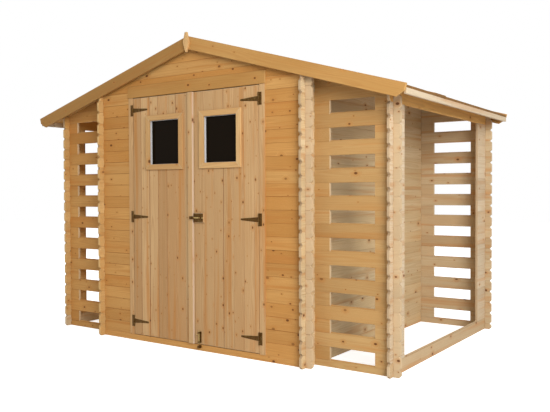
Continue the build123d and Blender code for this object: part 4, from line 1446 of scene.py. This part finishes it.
class ShedColours(bpy.types.PropertyGroup):
    """Colours of the timber, glass and fittings."""
    wall: colour("Front wall", "Pale boards of the front wall", (0.58, 0.32, 0.105))
    wall_deep: colour("Front wall, deep", "Deep boards of the front wall", (0.47, 0.215, 0.052))
    # Pale and grey as painted light, the whiter light from the right on sideways faces
    side: colour("Side boards", "Pale boards along the sides", (0.62, 0.51, 0.36))
    side_deep: colour("Side boards, deep", "Deep boards along the sides", (0.57, 0.43, 0.275))
    # Pale as painted light from the right, warmer and deeper as painted shade inside the store
    bay: colour("Side walls", "Pale boards of the shed's side walls", (0.66, 0.515, 0.31))
    bay_deep: colour("Side walls, deep", "Deep boards of the shed's side walls", (0.58, 0.42, 0.225))
    # Deeper and more golden than the right side boards: painted shade on the left
    left: colour("Left sides", "Pale boards of the left side wall and store ends", (0.60, 0.385, 0.16))
    left_deep: colour("Left sides, deep", "Deep boards of the left side wall", (0.50, 0.285, 0.095))
    column_end: colour("Corner ends", "Sawn ends in the corners on the right", (0.455, 0.32, 0.185))
    # Brightened as painted light, as the rails and beam sit in the roof's shadow
    rail: colour("Rails", "Pale top rails and ridge beam", (0.72, 0.42, 0.14))
    rail_deep: colour("Rails, deep", "Deep streaks of the top rails", (0.62, 0.34, 0.095))
    # Pale and grey as painted fill light
    inner: colour("Back walls", "Pale boards of the back walls", (0.56, 0.44, 0.275))
    inner_deep: colour("Back walls, deep", "Deep boards of the back walls", (0.49, 0.35, 0.20))
    store: colour("Store walls", "Pale boards of the store walls", (0.53, 0.335, 0.14))
    store_deep: colour("Store walls, deep", "Deep boards of the store walls", (0.46, 0.265, 0.095))
    roof: colour("Roof", "Pale barge and roof boards", (0.57, 0.33, 0.115))
    roof_deep: colour("Roof, deep", "Deep barge and roof boards", (0.45, 0.23, 0.064))
    door: colour("Door boards", "Pale boards of the doors", (0.56, 0.365, 0.18))
    door_deep: colour("Door boards, deep", "Deep boards of the doors", (0.48, 0.275, 0.12))
    trim: colour("Trim", "Window trims and finials", (0.62, 0.40, 0.18))
    trim_deep: colour("Trim, deep", "Deeper streaks of the trims", (0.55, 0.31, 0.12))
    # Pale as painted light from the right
    batten: colour("Batten edges", "Edges of the meeting batten, pale as painted light", (0.57, 0.425, 0.30))
    # Pale grey as a painted highlight, the sheen on the reveals
    liner: colour("Window liner", "Lining of the window openings, pale as a painted highlight", (0.56, 0.55, 0.54))
    # Near black: painted shade in the gap under the roof's edge
    eaves_edge_shade: colour("Eaves edge", "Ends of the roof boards, near black as painted shade", (0.15, 0.07, 0.022))
    end_grain: colour("End grain", "Sawn ends of the boards", (0.56, 0.425, 0.265))
    ring: colour("Late wood", "Darker part of the growth rings", (0.40, 0.175, 0.045))
    side_ring: colour("Side late wood", "Darker part of the rings along the sides", (0.44, 0.25, 0.10))
    door_ring: colour("Door late wood", "Darker part of the rings in the doors", (0.38, 0.20, 0.075))
    blush: colour("Blush", "Orange streaks in the wood", (0.47, 0.20, 0.05))
    knot: colour("Knots", "Dark knots", (0.11, 0.035, 0.010))
    bronze: colour("Bronze", "Hinges and plates", (0.080, 0.033, 0.003))
    bronze_worn: colour("Worn bronze", "Worn patches on hinges and plates", (0.21, 0.15, 0.05))
    bolt: colour("Bolt", "Sliding bolts", (0.40, 0.28, 0.10))
    bolt_worn: colour("Worn bolt", "Worn patches on the bolts", (0.60, 0.47, 0.22))
    # Near black as painted shade, the dark inside of the shed behind the pane
    glass: colour("Glass", "Window panes", (0.007, 0.004, 0.0015))


class ShedLooks(bpy.types.PropertyGroup):
    """Camera, floor and light."""
    floor_size: length("Floor", "Width of the floor", 40.0)
    horizon_strength: number("Horizon", "Light from the horizon", 0.62)
    zenith_strength: number("Zenith", "Light from overhead", 0.42)
    key_power: number("Key light", "Power of the key light in watts", 600)
    back_power: number("Back light", "Power of the light behind in watts", 260)
    key_size: length("Key size", "Width of the key light", 4.5)
    key_distance: length("Key distance", "Distance of the key light from the shed", 8.5)
    key_aim: position("Key aim", "Place that the key light faces", (0.6, -0.4, 1.1))
    key_tilt: angle("Key tilt", "Key light from straight down", math.radians(73))
    key_turn: angle("Key turn", "Key light round the upright axis", math.radians(49))
    floor_glow: number("Floor glow", "Lightening of the floor as seen", 0.75)
    focal_pixels: number("Focal length", "In pixels of the photograph", 684.18)
    camera_place: position("Camera", "Place of the camera", (3.2583, -4.6554, 1.1344))
    heading: angle("Heading", "Camera turned left from the shed's depth", 0.6024)
    dip: angle("Dip", "Camera tipped down", 0.0213)
    roll: angle("Roll", "Camera rolled", -0.0036)


# Operators

def make_operator(name, label, build):
    """Operator that runs one building function."""
    def execute(self, context):
        """Builds the piece in the current scene."""
        build()
        return {"FINISHED"}

    return type("SHED_OT_" + name, (bpy.types.Operator,), {
        "bl_idname": "shed." + name, "bl_label": label, "__doc__": build.__doc__, "execute": execute})


STEPS = [make_operator(*step) for step in (
    ("finishes", "Finishes", finishes),
    ("front_wall", "Front wall", front_wall),
    ("back_wall", "Back wall", back_wall),
    ("side_walls", "Side walls", side_walls),
    ("log_stores", "Log stores", log_stores),
    ("roof_deck", "Roof boards", roof_deck),
    ("barge_boards", "Barge boards", barge_boards),
    ("eave_fascias", "Eave fascias", eave_fascias),
    ("ridge_beam", "Ridge beam", ridge_beam),
    ("finials", "Finials", finials),
    ("door_frame", "Door frame", door_frame),
    ("door_leaves", "Door leaves", door_leaves),
    ("meeting_batten", "Meeting batten", meeting_batten),
    ("hinges", "Hinges", hinges),
    ("bolts", "Bolts", bolts),
    ("stage", "Stage", stage),
)]


class SHED_PT_panel(bpy.types.Panel):
    """Lists the shed's settings and building steps."""
    bl_label = "Shed"
    bl_idname = "SHED_PT_panel"
    bl_space_type = "VIEW_3D"
    bl_region_type = "UI"
    bl_category = "Shed"

    def draw(self, context):
        """Draws the settings and one button for each step."""
        for group in ("shed_sizes", "shed_colours", "shed_looks"):
            settings = getattr(context.scene, group)
            for name in settings.bl_rna.properties.keys():
                if name not in ("rna_type", "name"):
                    self.layout.prop(settings, name)
        for step in STEPS:
            self.layout.operator(step.bl_idname)


SETTINGS = {"shed_sizes": ShedSizes, "shed_colours": ShedColours, "shed_looks": ShedLooks}
CLASSES = [*SETTINGS.values(), *STEPS, SHED_PT_panel]


def register():
    """Registers the settings, operators and panel."""
    for cls in CLASSES:
        bpy.utils.register_class(cls)
    for name, cls in SETTINGS.items():
        setattr(bpy.types.Scene, name, bpy.props.PointerProperty(type=cls))


def unregister():
    """Removes the settings, operators and panel."""
    for name in SETTINGS:
        delattr(bpy.types.Scene, name)
    for cls in reversed(CLASSES):
        bpy.utils.unregister_class(cls)


def main():
    """Builds everything and writes the CAD box and the final box."""
    register()
    for step in STEPS:
        getattr(bpy.ops.shed, step.bl_idname.split(".")[1])()


if __name__ == "__main__":
    main()
